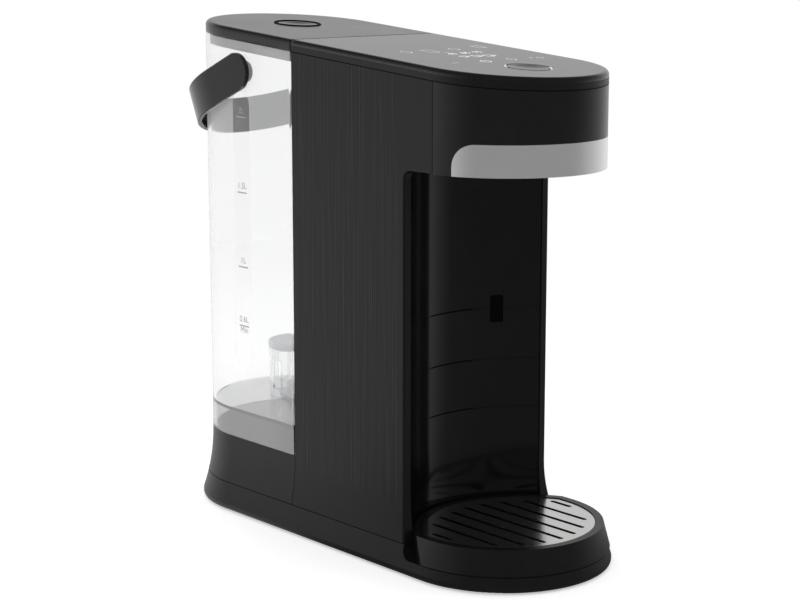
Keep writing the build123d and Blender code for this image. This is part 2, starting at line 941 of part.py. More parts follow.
with BuildPart() as board_lights:
    with BuildSketch(rim_plane.offset(board_top)):
        with Locations((0, icon_back)):
            with GridLocations(icon_pitch_x, icon_pitch_y, icon_columns, icon_rows):
                Rectangle(led_size, led_size)
    extrude(amount=led_height)
board_lights.part.label = "board_lights"
export_step(board_lights.part, "parts/board_lights.step")

with BuildPart() as button_switch:
    with BuildSketch(rim_plane.offset(board_top)):
        with Locations((0, -button_forward)):
            Rectangle(switch_size, switch_size)
    extrude(amount=switch_height)
button_switch.part.label = "button_switch"
export_step(button_switch.part, "parts/button_switch.step")


# Front of the top: glossy cover with the hole for the dispense button
cover_form = tilted_slab(cover_outline, 0, collar_height, top_height)


def top_edges(part):
    # The outer edges of the tilted top, without the straight one along the seam
    return [
        edge
        for edge in part.edges()
        if top_plane.to_local_coords(edge.center()).Z > -pin_gap
        and abs((edge % 0).Y) > abs((edge % 0).X)
    ]


with BuildPart() as top_cover:
    add(cover_form)
    fillet(top_edges(top_cover.part), top_round)
    with BuildSketch(top_plane):
        with Locations((0, -button_forward)):
            Circle(button_radius + button_gap)
    extrude(amount=-overrun, mode=Mode.SUBTRACT)
top_cover.part.label = "top_cover"
export_step(top_cover.part, "parts/top_cover.step")


# Dispense button: a dished disc with a stem on a rubber dome over the switch
dome_top = board_top + switch_height + button_travel + dome_wall

with BuildPart() as dispense_button:
    with BuildSketch(collar_plane):
        with Locations((0, -button_forward)):
            Circle(button_radius)
    extrude(amount=cover_thickness)
    with BuildSketch(rim_plane.offset(dome_top)):
        with Locations((0, -button_forward)):
            Circle(button_stem_radius)
    extrude(amount=collar_height - dome_top)
    with Locations(
        rim_spot(-button_forward, top_height - button_dish + button_dish_radius).location
    ):
        Sphere(button_dish_radius, mode=Mode.SUBTRACT)
dispense_button.part.label = "dispense_button"
export_step(dispense_button.part, "parts/dispense_button.step")

with BuildPart() as button_dome:
    with BuildSketch(rim_plane.offset(board_top)):
        with Locations((0, -button_forward)):
            Circle(dome_radius + dome_wall)
    extrude(amount=dome_top - board_top)
    with BuildSketch(rim_plane.offset(board_top)):
        with Locations((0, -button_forward)):
            Circle(dome_radius + fit_gap)
            Rectangle(switch_size + fit_gap, switch_size + fit_gap)
    extrude(amount=switch_height + button_travel, mode=Mode.SUBTRACT)
button_dome.part.label = "button_dome"
export_step(button_dome.part, "parts/button_dome.step")


# Drip tray: a slanted round front and a back that follows the bay
tray_top_radius = body_radius + tray_overhang
tray_low_radius = tray_top_radius + tray_slant
tray_back_radius = bay_radius - tray_bay_gap
grille_radius = tray_top_radius - tray_rim
grille_back_radius = tray_back_radius - tray_rim
slot_front_radius = grille_radius - slot_margin
slot_back_radius = grille_back_radius - slot_margin
slot_pitch = 2 * slot_spread_share * slot_front_radius / (slot_count - 1)
tray_top_z = tongue_z + tray_height
ledge_z = tray_top_z - grille_recess - grille_thickness
tray_corner_y = step_y - lift_gap - tray_corner

with BuildPart() as drip_tray:
    with BuildSketch(Plane.XZ.offset(-front_axis_y)):
        with BuildLine():
            Polyline(
                (0, tongue_z),
                (tray_low_radius - tray_chamfer, tongue_z),
                (tray_low_radius, tongue_z + tray_chamfer),
                (tray_top_radius, tray_top_z),
                (0, tray_top_z),
                close=True,
            )
        make_face()
    revolve(axis=Axis((0, front_axis_y, 0), (0, 0, -1)), revolution_arc=180)
    with BuildSketch(Plane.XZ.offset(-front_axis_y)):
        with BuildLine():
            Polyline(
                (0, tongue_z),
                (tray_low_radius - tray_chamfer, tongue_z),
                (tray_low_radius, tongue_z + tray_chamfer),
                (tray_top_radius, tray_top_z),
                (0, tray_top_z),
                close=True,
            )
        make_face()
        mirror(about=Plane.YZ)
    extrude(amount=-bay_radius)
    with BuildSketch(Plane.XY.offset(tongue_z)):
        with Locations((0, bay_axis_y)):
            Circle(tray_back_radius)
    extrude(amount=tray_height, mode=Mode.INTERSECT)
    for side in (-1, 1):
        with BuildSketch(Plane.YZ.offset(side * (lip_x - lift_gap))):
            with Locations((tray_corner_y, tongue_z)):
                Rectangle(bay_radius, form_top, align=(Align.MIN, Align.MIN))
            with Locations((tray_corner_y, tongue_z + tray_corner)):
                Circle(tray_corner, mode=Mode.SUBTRACT)
                Rectangle(
                    tray_corner, form_top, align=(Align.MIN, Align.MIN), mode=Mode.SUBTRACT
                )
        extrude(amount=side * full_width, mode=Mode.SUBTRACT)
    with BuildSketch(Plane.XY.offset(ledge_z)):
        tray_outline(grille_radius + slide_gap, grille_back_radius + slide_gap)
    extrude(amount=tray_height, mode=Mode.SUBTRACT)
    with BuildSketch(Plane.XY.offset(tongue_z + tray_floor)):
        tray_outline(grille_radius - ledge_width, grille_back_radius - ledge_width)
    extrude(amount=tray_height, mode=Mode.SUBTRACT)
drip_tray.part.label = "drip_tray"
export_step(drip_tray.part, "parts/drip_tray.step")


# Grille: a flat plate with a row of long slots, all ending on the same two arcs
with BuildPart() as drip_grille:
    with BuildSketch(Plane.XY.offset(ledge_z)):
        tray_outline(grille_radius, grille_back_radius)
    extrude(amount=grille_thickness)
    with BuildSketch(Plane.XY.offset(ledge_z)):
        for index in range(slot_count):
            x = (index - (slot_count - 1) / 2) * slot_pitch
            slot_front = front_axis_y - sqrt(slot_front_radius**2 - x**2)
            slot_back = bay_axis_y + sqrt(slot_back_radius**2 - x**2)
            with Locations((x, (slot_front + slot_back) / 2)):
                SlotOverall(slot_back - slot_front, slot_width, rotation=90)
    extrude(amount=grille_thickness, mode=Mode.SUBTRACT)
drip_grille.part.label = "drip_grille"
export_step(drip_grille.part, "parts/drip_grille.step")


# Tank: a clear shell with a floor above its skirt, open at the top under the lid
pivot_y = front_axis_y + pivot_setback

with BuildPart() as tank_shell:
    with BuildSketch(Plane.XY.offset(tank_deck_z)) as outer:
        tank_outline(0)
        fillet(outer.vertices().group_by(Axis.Y)[0], tank_round)
    extrude(amount=form_top - tank_deck_z)
    for low, high in ((tank_deck_z, tank_floor_z - tank_wall), (tank_floor_z, form_top)):
        with BuildSketch(Plane.XY.offset(low)) as inner:
            tank_outline(tank_wall)
            fillet(inner.vertices().group_by(Axis.Y)[0], tank_round - tank_wall / 2)
        extrude(amount=high - low, mode=Mode.SUBTRACT)
    split(bisect_by=rim_plane, keep=Keep.BOTTOM)
    with BuildSketch(Plane.XY.offset(tank_floor_z)):
        with Locations((0, back_axis_y)):
            Circle(valve_bore)
    extrude(amount=-tank_wall, mode=Mode.SUBTRACT)
    with BuildSketch(Plane.YZ):
        with Locations((pivot_y, pivot_z)):
            Circle(pin_radius + pin_gap)
    extrude(amount=full_width, both=True, mode=Mode.SUBTRACT)
tank_shell.part.label = "tank_shell"
export_step(tank_shell.part, "parts/tank_shell.step")


# Filter cup standing over the valve, with its cap
with BuildPart() as filter_cup:
    with BuildSketch(Plane.XY.offset(tank_floor_z)):
        with Locations((0, back_axis_y)):
            Circle(filter_radius)
            Circle(filter_radius - filter_wall, mode=Mode.SUBTRACT)
    extrude(amount=filter_height - filter_cap_height)
    with Locations((0, back_axis_y, tank_floor_z + filter_window_low)):
        with PolarLocations(filter_radius, filter_window_count):
            Box(
                full_width / filter_radius * filter_wall,
                filter_window_width,
                filter_window_high - filter_window_low,
                align=(Align.CENTER, Align.CENTER, Align.MIN),
                mode=Mode.SUBTRACT,
            )
filter_cup.part.label = "filter_cup"
export_step(filter_cup.part, "parts/filter_cup.step")

with BuildPart() as filter_cap:
    with BuildSketch(Plane.XY.offset(tank_floor_z + filter_height - filter_cap_height)):
        with Locations((0, back_axis_y)):
            Circle(filter_radius + filter_wall / 2)
    extrude(amount=filter_cap_height)
    chamfer(filter_cap.faces().sort_by(Axis.Z)[-1].edges(), filter_wall / 2)
filter_cap.part.label = "filter_cap"
export_step(filter_cap.part, "parts/filter_cap.step")


# Valve in the tank's floor: the dock's pin holds it open while the tank is in place
seat_z = valve_stub_low + valve_seat
washer_z = seat_z + valve_lift
plunger_z = washer_z + washer_thickness
spring_low = plunger_z + plunger_thickness
guide_z = valve_chamber_top - valve_flange

with BuildPart() as valve_body:
    with BuildSketch(Plane.XZ.offset(-back_axis_y)):
        with BuildLine():
            Polyline(
                (valve_seat_radius, valve_stub_low),
                (valve_stub_radius, valve_stub_low),
                (valve_stub_radius, tank_floor_z),
                (valve_flange_radius, tank_floor_z),
                (valve_flange_radius, tank_floor_z + valve_flange),
                (valve_stub_radius, tank_floor_z + valve_flange),
                (valve_stub_radius, valve_chamber_top),
                (stem_radius + pin_gap, valve_chamber_top),
                (stem_radius + pin_gap, guide_z),
                (valve_chamber_radius, guide_z),
                (valve_chamber_radius, seat_z),
                (valve_seat_radius, seat_z),
                close=True,
            )
        make_face()
    revolve(axis=Axis((0, back_axis_y, 0), (0, 0, 1)))
    with BuildSketch(Plane.XY.offset(guide_z)):
        with Locations((0, back_axis_y)):
            with PolarLocations(guide_hole_ring, guide_hole_count):
                Circle(guide_hole_radius)
    extrude(amount=valve_flange, mode=Mode.SUBTRACT)
valve_body.part.label = "valve_body"
export_step(valve_body.part, "parts/valve_body.step")

with BuildPart() as valve_plunger:
    with BuildSketch(Plane.XY.offset(plunger_z)):
        with Locations((0, back_axis_y)):
            Circle(washer_radius)
    extrude(amount=plunger_thickness)
    with BuildSketch(Plane.XY.offset(plunger_z)):
        with Locations((0, back_axis_y)):
            Circle(stem_radius)
    extrude(amount=stem_top - plunger_z)
valve_plunger.part.label = "valve_plunger"
export_step(valve_plunger.part, "parts/valve_plunger.step")

with BuildPart() as valve_washer:
    with BuildSketch(Plane.XY.offset(washer_z)):
        with Locations((0, back_axis_y)):
            Circle(washer_radius)
            Circle(dock_pin_radius + slide_gap, mode=Mode.SUBTRACT)
    extrude(amount=washer_thickness)
valve_washer.part.label = "valve_washer"
export_step(valve_washer.part, "parts/valve_washer.step")


valve_coil = coil_spring(
    Plane(origin=(0, back_axis_y, spring_low)),
    guide_z - spring_low,
    spring_radius,
    spring_wire,
    spring_turns,
)

with BuildPart() as valve_spring:
    add(valve_coil)
valve_spring.part.label = "valve_spring"
export_step(valve_spring.part, "parts/valve_spring.step")


# Lid: closes the tank and carries on the line of the top cover
lid_block = tilted_slab(tank_outline, 0, 0, top_height)
lid_hollow = tilted_slab(tank_outline, lid_wall, -overrun, top_height - lid_top)
skirt_block = tilted_slab(tank_outline, skirt_inset, -skirt_depth, collar_height)
lid_well = rim_spot(end_spacing, top_height - well_depth)
seal_block = tilted_slab(
    tank_outline, tank_wall + slide_gap, -skirt_depth, seal_height - skirt_depth, tank_wall / 2
)
seal_hole = tilted_slab(tank_outline, skirt_inset, -overrun, overrun)

with BuildPart() as tank_lid:
    add(lid_block)
    fillet(top_edges(tank_lid.part), top_round)
    add(skirt_block)
    add(lid_hollow, mode=Mode.SUBTRACT)
    with BuildSketch(lid_well):
        Circle(lid_button_radius + lid_button_gap + well_floor)
    extrude(amount=well_depth - lid_top / 2)
    with BuildSketch(lid_well.offset(well_floor)):
        Circle(lid_button_radius + lid_button_gap)
    extrude(amount=well_depth, mode=Mode.SUBTRACT)
tank_lid.part.label = "tank_lid"
export_step(tank_lid.part, "parts/tank_lid.step")

with BuildPart() as lid_seal:
    add(seal_block)
    add(seal_hole, mode=Mode.SUBTRACT)
lid_seal.part.label = "lid_seal"
export_step(lid_seal.part, "parts/lid_seal.step")


# Round button in the lid, with its return spring
lid_button_low = well_depth - lid_button_stem

with BuildPart() as lid_button:
    with BuildSketch(lid_well.offset(lid_button_low)):
        Circle(lid_button_radius)
    extrude(amount=lid_button_stem)
    with Locations(
        lid_well.offset(well_depth - lid_button_dish + lid_button_dish_radius).location
    ):
        Sphere(lid_button_dish_radius, mode=Mode.SUBTRACT)
lid_button.part.label = "lid_button"
export_step(lid_button.part, "parts/lid_button.step")

lid_coil = coil_spring(
    lid_well.offset(well_floor),
    lid_button_low - well_floor,
    lid_spring_radius,
    lid_spring_wire,
    lid_spring_turns,
)

with BuildPart() as lid_button_spring:
    add(lid_coil)
lid_button_spring.part.label = "lid_button_spring"
export_step(lid_button_spring.part, "parts/lid_button_spring.step")


# Handle: a strap bent round the back of the tank, hinged on a pin at each side
droop = radians(handle_droop)
handle_plane = Plane(
    origin=(0, pivot_y, pivot_z), x_dir=(1, 0, 0), z_dir=(0, sin(droop), cos(droop))
)
side_plane = Plane(
    origin=(0, pivot_y, pivot_z), x_dir=(0, cos(droop), -sin(droop)), z_dir=(1, 0, 0)
)
strap_inner = body_radius + strap_clearance
strap_half_span = strap_inner + strap_thickness

with BuildPart() as handle_strap:
    with BuildSketch(handle_plane.offset(-strap_width / 2)):
        with Locations((0, strap_arm)):
            Circle(strap_half_span)
            Rectangle(2 * strap_half_span, full_width, align=(Align.CENTER, Align.MAX))
            Circle(strap_inner, mode=Mode.SUBTRACT)
            Rectangle(
                2 * strap_inner,
                full_width,
                align=(Align.CENTER, Align.MAX),
                mode=Mode.SUBTRACT,
            )
    extrude(amount=strap_width)
    strap_faces = handle_strap.faces().sort_by(Axis((0, pivot_y, pivot_z), handle_plane.z_dir))
    chamfer(strap_faces[0].edges() + strap_faces[-1].edges(), strap_chamfer)
    with BuildSketch(side_plane):
        Circle(strap_width / 2)
        Rectangle(full_width, strap_width, align=(Align.MIN, Align.CENTER))
    extrude(amount=full_width, both=True, mode=Mode.INTERSECT)
    for side in (-1, 1):
        hub_plane = Plane(
            origin=(side * (body_radius + hub_gap), pivot_y, pivot_z), z_dir=(side, 0, 0)
        )
        with BuildSketch(hub_plane):
            Circle(hub_radius)
        extrude(amount=strap_inner - body_radius - hub_gap / 2)
        with BuildSketch(hub_plane):
            Circle(pin_radius + pin_gap)
        extrude(amount=pin_reach, mode=Mode.SUBTRACT)
handle_strap.part.label = "handle_strap"
export_step(handle_strap.part, "parts/handle_strap.step")

with BuildPart() as handle_pins:
    for side in (-1, 1):
        pin_plane = Plane(
            origin=(side * (body_radius - tank_wall), pivot_y, pivot_z), z_dir=(side, 0, 0)
        )
        with BuildSketch(pin_plane):
            Circle(pin_radius)
        extrude(amount=tank_wall + pin_reach)
        with BuildSketch(pin_plane):
            Circle(pin_head_radius)
        extrude(amount=-pin_head)
handle_pins.part.label = "handle_pins"
export_step(handle_pins.part, "parts/handle_pins.step")


# Pump: motor, housing, impeller and the rubber cradle under it
volute_end_y = volute_y + volute_depth
spin_plane = Plane(origin=(0, volute_y, pump_z), x_dir=(1, 0, 0), z_dir=(0, 1, 0))
impeller_plane = spin_plane.offset(volute_wall + slide_gap + fit_gap)
outlet_top = pump_z + volute_radius + spigot_gap + spigot_length
meter_low = outlet_top + spigot_gap + spigot_length
heater_low = meter_low + meter_height + 2 * spigot_length + spigot_gap + heater_cap
heater_height = head_low_z - heater_headroom - heater_low
hose_rise = head_low_z + hose_rise_share * head_height

with BuildPart() as pump_motor:
    with BuildSketch(spin_plane):
        Circle(motor_radius)
        Circle(shaft_radius + pin_gap, mode=Mode.SUBTRACT)
    extrude(amount=-motor_length)
    with BuildSketch(spin_plane.offset(-shaft_sink - pin_gap)):
        Circle(shaft_radius + pin_gap)
    extrude(amount=-(motor_length - shaft_sink - pin_gap))
    chamfer(pump_motor.faces().sort_by(Axis.Y)[0].outer_wire().edges(), lip_round)
pump_motor.part.label = "pump_motor"
export_step(pump_motor.part, "parts/pump_motor.step")

with BuildPart() as pump_housing:
    with BuildSketch(spin_plane):
        Circle(volute_radius)
    extrude(amount=volute_depth)
    with BuildSketch(Plane.XY.offset(pump_z)):
        with Locations((outlet_side, outlet_y)):
            Circle(spigot_radius)
    extrude(amount=outlet_top - pump_z)
    with BuildSketch(spin_plane.offset(volute_wall)):
        Circle(volute_radius - volute_wall)
    extrude(amount=volute_depth - 2 * volute_wall, mode=Mode.SUBTRACT)
    with BuildSketch(spin_plane):
        Circle(shaft_radius + pin_gap)
    extrude(amount=volute_wall, mode=Mode.SUBTRACT)
    with BuildSketch(spin_plane.offset(volute_depth)):
        Circle(spigot_radius)
    extrude(amount=spigot_length)
    with BuildSketch(spin_plane.offset(volute_depth - volute_wall)):
        Circle(spigot_bore)
    extrude(amount=spigot_length + volute_wall, mode=Mode.SUBTRACT)
    with BuildSketch(Plane.XY.offset(pump_z)):
        with Locations((outlet_side, outlet_y)):
            Circle(spigot_bore)
    extrude(amount=outlet_top - pump_z, mode=Mode.SUBTRACT)
pump_housing.part.label = "pump_housing"
export_step(pump_housing.part, "parts/pump_housing.step")

with BuildPart() as pump_impeller:
    with BuildSketch(impeller_plane):
        Circle(impeller_radius)
    extrude(amount=impeller_disc)
    with BuildSketch(impeller_plane.offset(impeller_disc)):
        Circle(hub_vane_radius)
        with PolarLocations(impeller_radius / 2, vane_count):
            Rectangle(impeller_radius - hub_vane_radius / 2, vane_thickness)
        Circle(impeller_radius, mode=Mode.INTERSECT)
    extrude(amount=vane_height)
    with BuildSketch(impeller_plane):
        Circle(shaft_radius)
    extrude(amount=-(shaft_sink + volute_wall))
pump_impeller.part.label = "pump_impeller"
export_step(pump_impeller.part, "parts/pump_impeller.step")

with BuildPart() as pump_cradle:
    with BuildSketch(Plane.XY.offset(base_seam_z)):
        with Locations((0, motor_y + motor_length / 2)):
            Rectangle(cradle_width, motor_length - 2 * wall)
    extrude(amount=cradle_rise)
    with BuildSketch(spin_plane):
        Circle(motor_radius + pin_gap)
    extrude(amount=-motor_length, mode=Mode.SUBTRACT)
pump_cradle.part.label = "pump_cradle"
export_step(pump_cradle.part, "parts/pump_cradle.step")


# Flow meter and heater, upright over the pump's outlet
with BuildPart() as flow_meter:
    with BuildSketch(Plane.XY.offset(meter_low)):
        with Locations((outlet_side, outlet_y)):
            Circle(meter_radius)
    extrude(amount=meter_height)
    with BuildSketch(Plane.XY.offset(meter_low - spigot_length)):
        with Locations((outlet_side, outlet_y)):
            Circle(spigot_radius)
    extrude(amount=meter_height + 2 * spigot_length)
    with BuildSketch(Plane.XY.offset(meter_low - spigot_length)):
        with Locations((outlet_side, outlet_y)):
            Circle(spigot_bore)
    extrude(amount=meter_height + 2 * spigot_length, mode=Mode.SUBTRACT)
flow_meter.part.label = "flow_meter"
export_step(flow_meter.part, "parts/flow_meter.step")

heater_top = heater_low + heater_height

with BuildPart() as heater:
    with BuildSketch(Plane.XY.offset(heater_low)):
        with Locations((outlet_side, outlet_y)):
            Circle(heater_radius)
    extrude(amount=heater_height)
    with BuildSketch(Plane.XY.offset(heater_low - heater_cap)):
        with Locations((outlet_side, outlet_y)):
            Circle(heater_cap_radius)
    extrude(amount=heater_height + 2 * heater_cap)
    with BuildSketch(Plane.XY.offset(heater_low - heater_cap - spigot_length)):
        with Locations((outlet_side, outlet_y)):
            Circle(spigot_radius)
    extrude(amount=heater_height + 2 * (heater_cap + spigot_length))
    with BuildSketch(Plane.XY.offset(heater_low - heater_cap - spigot_length)):
        with Locations((outlet_side, outlet_y)):
            Circle(spigot_bore)
    extrude(amount=heater_height + 2 * (heater_cap + spigot_length), mode=Mode.SUBTRACT)
heater.part.label = "heater"
export_step(heater.part, "parts/heater.step")

with BuildPart() as heater_bracket:
    for share in strap_ring_shares:
        ring_z = heater_low + share * heater_height - strap_ring_height / 2
        with BuildSketch(Plane.XY.offset(ring_z)):
            with Locations((outlet_side, outlet_y)):
                Circle(heater_radius + strap_ring)
                Rectangle(
                    strut_width,
                    seam_y - bulkhead_thickness - outlet_y,
                    align=(Align.CENTER, Align.MIN),
                )
                Circle(heater_radius + pin_gap, mode=Mode.SUBTRACT)
        extrude(amount=strap_ring_height)
heater_bracket.part.label = "heater_bracket"
export_step(heater_bracket.part, "parts/heater_bracket.step")

with BuildPart() as thermal_cutouts:
    for share in cutout_shares:
        cutout_plane = Plane(
            origin=(
                outlet_side + heater_radius,
                outlet_y,
                heater_low + share * heater_height,
            ),
            z_dir=(1, 0, 0),
        )
        with BuildSketch(cutout_plane):
            Circle(cutout_radius)
        extrude(amount=cutout_height)
thermal_cutouts.part.label = "thermal_cutouts"
export_step(thermal_cutouts.part, "parts/thermal_cutouts.step")


# Hoses: from the dock to the pump, up through the meter to the heater, and to the nozzle
inlet_run = hose_run(((0, volute_end_y, pump_z), (0, dock_spigot_y, pump_z)))

with BuildPart() as inlet_hose:
    add(inlet_run)
inlet_hose.part.label = "inlet_hose"
export_step(inlet_hose.part, "parts/inlet_hose.step")

pump_hose_low = pump_z + volute_radius
heater_spigot_top = heater_top + heater_cap

pump_run = hose_run(
    ((outlet_side, outlet_y, pump_hose_low), (outlet_side, outlet_y, meter_low))
)
heater_run = hose_run(
    (
        (outlet_side, outlet_y, meter_low + meter_height),
        (outlet_side, outlet_y, heater_low - heater_cap),
    )
)

with BuildPart() as pump_hoses:
    add(pump_run)
    add(heater_run)
pump_hoses.part.label = "pump_hoses"
export_step(pump_hoses.part, "parts/pump_hoses.step")

outlet_run = hose_run(
    (
        (outlet_side, outlet_y, heater_spigot_top),
        (outlet_side, outlet_y, hose_rise),
        (0, nozzle_y, hose_rise + hose_bend / 2),
        (0, nozzle_y, nozzle_top),
    ),
    hose_bend,
)

with BuildPart() as outlet_hose:
    add(outlet_run)
outlet_hose.part.label = "outlet_hose"
export_step(outlet_hose.part, "parts/outlet_hose.step")


clamp_places = [
    Plane(origin=(0, y, pump_z), z_dir=(0, 1, 0))
    for y in (volute_end_y + wall, dock_spigot_y - wall - clamp_width)
]
clamp_places += [
    Plane(origin=(outlet_side, outlet_y, z))
    for z in (
        pump_hose_low + wall,
        meter_low - wall - clamp_width,
        meter_low + meter_height + wall,
        heater_low - heater_cap - wall - clamp_width,
        heater_spigot_top + wall,
    )
]
clamp_places.append(Plane(origin=(0, nozzle_y, nozzle_top + wall)))

with BuildPart() as hose_clamps:
    for place in clamp_places:
        with BuildSketch(place):
            Circle(hose_radius + clamp_wall)
            Circle(hose_radius + pin_gap, mode=Mode.SUBTRACT)
        extrude(amount=clamp_width)
hose_clamps.part.label = "hose_clamps"
export_step(hose_clamps.part, "parts/hose_clamps.step")


# Power board on the left panel's posts, with its larger components
power_y = seam_y - power_back
power_mid_z = power_low + power_height / 2

with BuildPart() as power_board:
    with BuildSketch(Plane.YZ.offset(power_x)):
        with Locations((power_y, power_mid_z)):
            Rectangle(power_length, power_height)
    extrude(amount=board_thickness)
power_board.part.label = "power_board"
export_step(power_board.part, "parts/power_board.step")

component_x = power_x + board_thickness

with BuildPart() as power_parts:
    with Locations((component_x, power_y, power_low + power_inset)):
        Box(*transformer_size, align=(Align.MIN, Align.MAX, Align.MIN))
    with Locations((component_x, power_y + power_inset, power_low + power_inset)):
        Box(*relay_size, align=(Align.MIN, Align.MIN, Align.MIN))
    for along in (-1, 1):
        with BuildSketch(Plane.YZ.offset(component_x)):
            with Locations((power_y + along * power_inset, power_mid_z + 2 * power_inset)):
                Circle(capacitor_radius)
        extrude(amount=capacitor_height)
power_parts.part.label = "power_parts"
export_step(power_parts.part, "parts/power_parts.step")
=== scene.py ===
import bpy
from math import copysign, cos, pi, radians, sin, tan
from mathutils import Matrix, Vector


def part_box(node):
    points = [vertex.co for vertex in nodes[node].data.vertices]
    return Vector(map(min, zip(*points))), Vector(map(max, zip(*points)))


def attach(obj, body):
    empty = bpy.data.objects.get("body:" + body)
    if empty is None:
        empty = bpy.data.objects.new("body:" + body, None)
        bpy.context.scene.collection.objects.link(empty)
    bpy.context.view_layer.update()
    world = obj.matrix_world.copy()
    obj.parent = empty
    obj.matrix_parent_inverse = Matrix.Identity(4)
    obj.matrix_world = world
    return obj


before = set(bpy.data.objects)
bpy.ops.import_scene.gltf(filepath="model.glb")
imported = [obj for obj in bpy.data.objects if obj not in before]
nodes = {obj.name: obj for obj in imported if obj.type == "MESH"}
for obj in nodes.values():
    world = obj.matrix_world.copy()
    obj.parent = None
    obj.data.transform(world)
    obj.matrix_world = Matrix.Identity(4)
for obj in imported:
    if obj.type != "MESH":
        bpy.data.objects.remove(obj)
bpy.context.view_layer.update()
mm = 0.001
print("frame loaded,", len(nodes), "nodes")


# picking and finishing

def deselectAll():
    if bpy.context.object and bpy.context.object.mode != "OBJECT":
        bpy.ops.object.mode_set(mode="OBJECT")
    bpy.ops.object.select_all(action="DESELECT")


def makeActive(piece):
    deselectAll()
    piece.select_set(True)
    bpy.context.view_layer.objects.active = piece


def applyPlace(piece):
    makeActive(piece)
    bpy.ops.object.transform_apply(location=True, rotation=True, scale=True)


def applyModifier(piece, kind, **settings):
    makeActive(piece)
    bpy.ops.object.modifier_add(type=kind)
    modifier = piece.modifiers[-1]
    for name, value in settings.items():
        setattr(modifier, name, value)
    bpy.ops.object.modifier_apply(modifier=modifier.name)


def joinPieces(pieces, name):
    deselectAll()
    for piece in pieces:
        piece.select_set(True)
    bpy.context.view_layer.objects.active = pieces[0]
    if len(pieces) > 1:
        bpy.ops.object.join()
    joined = bpy.context.object
    joined.name = name
    applyPlace(joined)
    return joined


def cutWith(piece, cutter):
    applyModifier(piece, "BOOLEAN", operation="DIFFERENCE", object=cutter, solver="EXACT")
    makeActive(cutter)
    bpy.ops.object.delete()
    return piece


def finishPiece(piece, body, material):
    piece.data.materials.clear()
    piece.data.materials.append(material)
    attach(piece, body)
    print(piece.name, "done")


# node helpers, where a value is a number or another node's output

def feed(tree, socket, value):
    if isinstance(value, bpy.types.NodeSocket):
        tree.links.new(value, socket)
    else:
        socket.default_value = value


def feedAll(tree, node, values):
    for name, value in values.items():
        feed(tree, node.inputs[name.replace("_", " ")], value)


def addNode(tree, kind, **values):
    node = tree.nodes.new("ShaderNode" + kind)
    feedAll(tree, node, values)
    return node.outputs


def addMath(tree, operation, *values, clamp=False):
    node = tree.nodes.new("ShaderNodeMath")
    node.operation = operation
    node.use_clamp = clamp
    for socket, value in zip(node.inputs, values):
        feed(tree, socket, value)
    return node.outputs["Value"]


def addVectorMath(tree, operation, *values):
    node = tree.nodes.new("ShaderNodeVectorMath")
    node.operation = operation
    for socket, value in zip(node.inputs, values):
        feed(tree, socket, value)
    return node.outputs


def addRange(tree, value, fromLow, fromHigh, toLow=0.0, toHigh=1.0, kind="LINEAR"):
    node = tree.nodes.new("ShaderNodeMapRange")
    node.interpolation_type = kind
    feedAll(tree, node, {
        "Value": value, "From Min": fromLow, "From Max": fromHigh, "To Min": toLow, "To Max": toHigh,
    })
    return node.outputs["Result"]


def addPlace(tree):
    return addNode(tree, "TexCoord")["Object"]


def addPlaceParts(tree):
    return addNode(tree, "SeparateXYZ", Vector=addPlace(tree))


# shader groups that several materials share

def startGroup(name, inputs, outputs):
    group = bpy.data.node_groups.new(name, "ShaderNodeTree")
    for title, value in inputs.items():
        kind = "NodeSocketFloat" if isinstance(value, float) else "NodeSocketVector"
        group.interface.new_socket(name=title, in_out="INPUT", socket_type=kind).default_value = value
    for title in outputs:
        kind = "NodeSocketVector" if title == "Normal" else "NodeSocketFloat"
        group.interface.new_socket(name=title, in_out="OUTPUT", socket_type=kind)
    return group, group.nodes.new("NodeGroupInput").outputs


def endGroup(group, **results):
    feedAll(group, group.nodes.new("NodeGroupOutput"), results)
    return group


grainLook = {"detail": 3.0, "height": 0.2 * mm, "cloudSize": 22.0, "cloudDetail": 4.0}


def makeGrainGroup():
    # fine moulded grain on softened edges: a bumpy normal and a slow change of roughness
    group, given = startGroup(
        "mouldedGrain",
        {"Size": 900.0, "Depth": 0.2, "Rough low": 0.35, "Rough high": 0.45, "Edge": 0.0},
        ("Roughness", "Normal"),
    )
    place = addPlace(group)
    edge = addNode(group, "Bevel", Radius=given["Edge"])
    grain = addNode(group, "TexNoise", Vector=place, Scale=given["Size"], Detail=grainLook["detail"])
    cloud = addNode(
        group, "TexNoise", Vector=place, Scale=grainLook["cloudSize"], Detail=grainLook["cloudDetail"],
    )
    rough = addRange(group, cloud["Fac"], 0.0, 1.0, given["Rough low"], given["Rough high"])
    bump = addNode(
        group, "Bump", Strength=given["Depth"], Distance=grainLook["height"], Height=grain["Fac"],
        Normal=edge["Normal"],
    )
    return endGroup(group, Roughness=rough, Normal=bump["Normal"])


dustLook = {"detail": 8.0, "unevenness": 0.6, "noneBelow": 0.45, "fullAbove": 0.8}


def makeDustGroup():
    # faint dust and handling marks: a mask that is 0 almost everywhere
    group, given = startGroup("faintDust", {"Size": 60.0, "Amount": 0.05}, ("Mask",))
    cloud = addNode(
        group, "TexNoise", Vector=addPlace(group), Scale=given["Size"], Detail=dustLook["detail"],
        Roughness=dustLook["unevenness"],
    )
    patches = addRange(group, cloud["Fac"], dustLook["noneBelow"], dustLook["fullAbove"])
    return endGroup(group, Mask=addMath(group, "MULTIPLY", patches, given["Amount"]))


ribs = {
    "frontEdge": -68.5 * mm, "frontSteepness": 900.0,   # where the ribbed field of a side panel begins
    "lowEdge": 36.0 * mm, "lowSteepness": 120.0,
    "breaks": 14.0, "unevenSize": 0.73, "detail": 2.0, "noneBelow": 0.42, "fullAbove": 0.72,
    "height": 0.3 * mm,
}


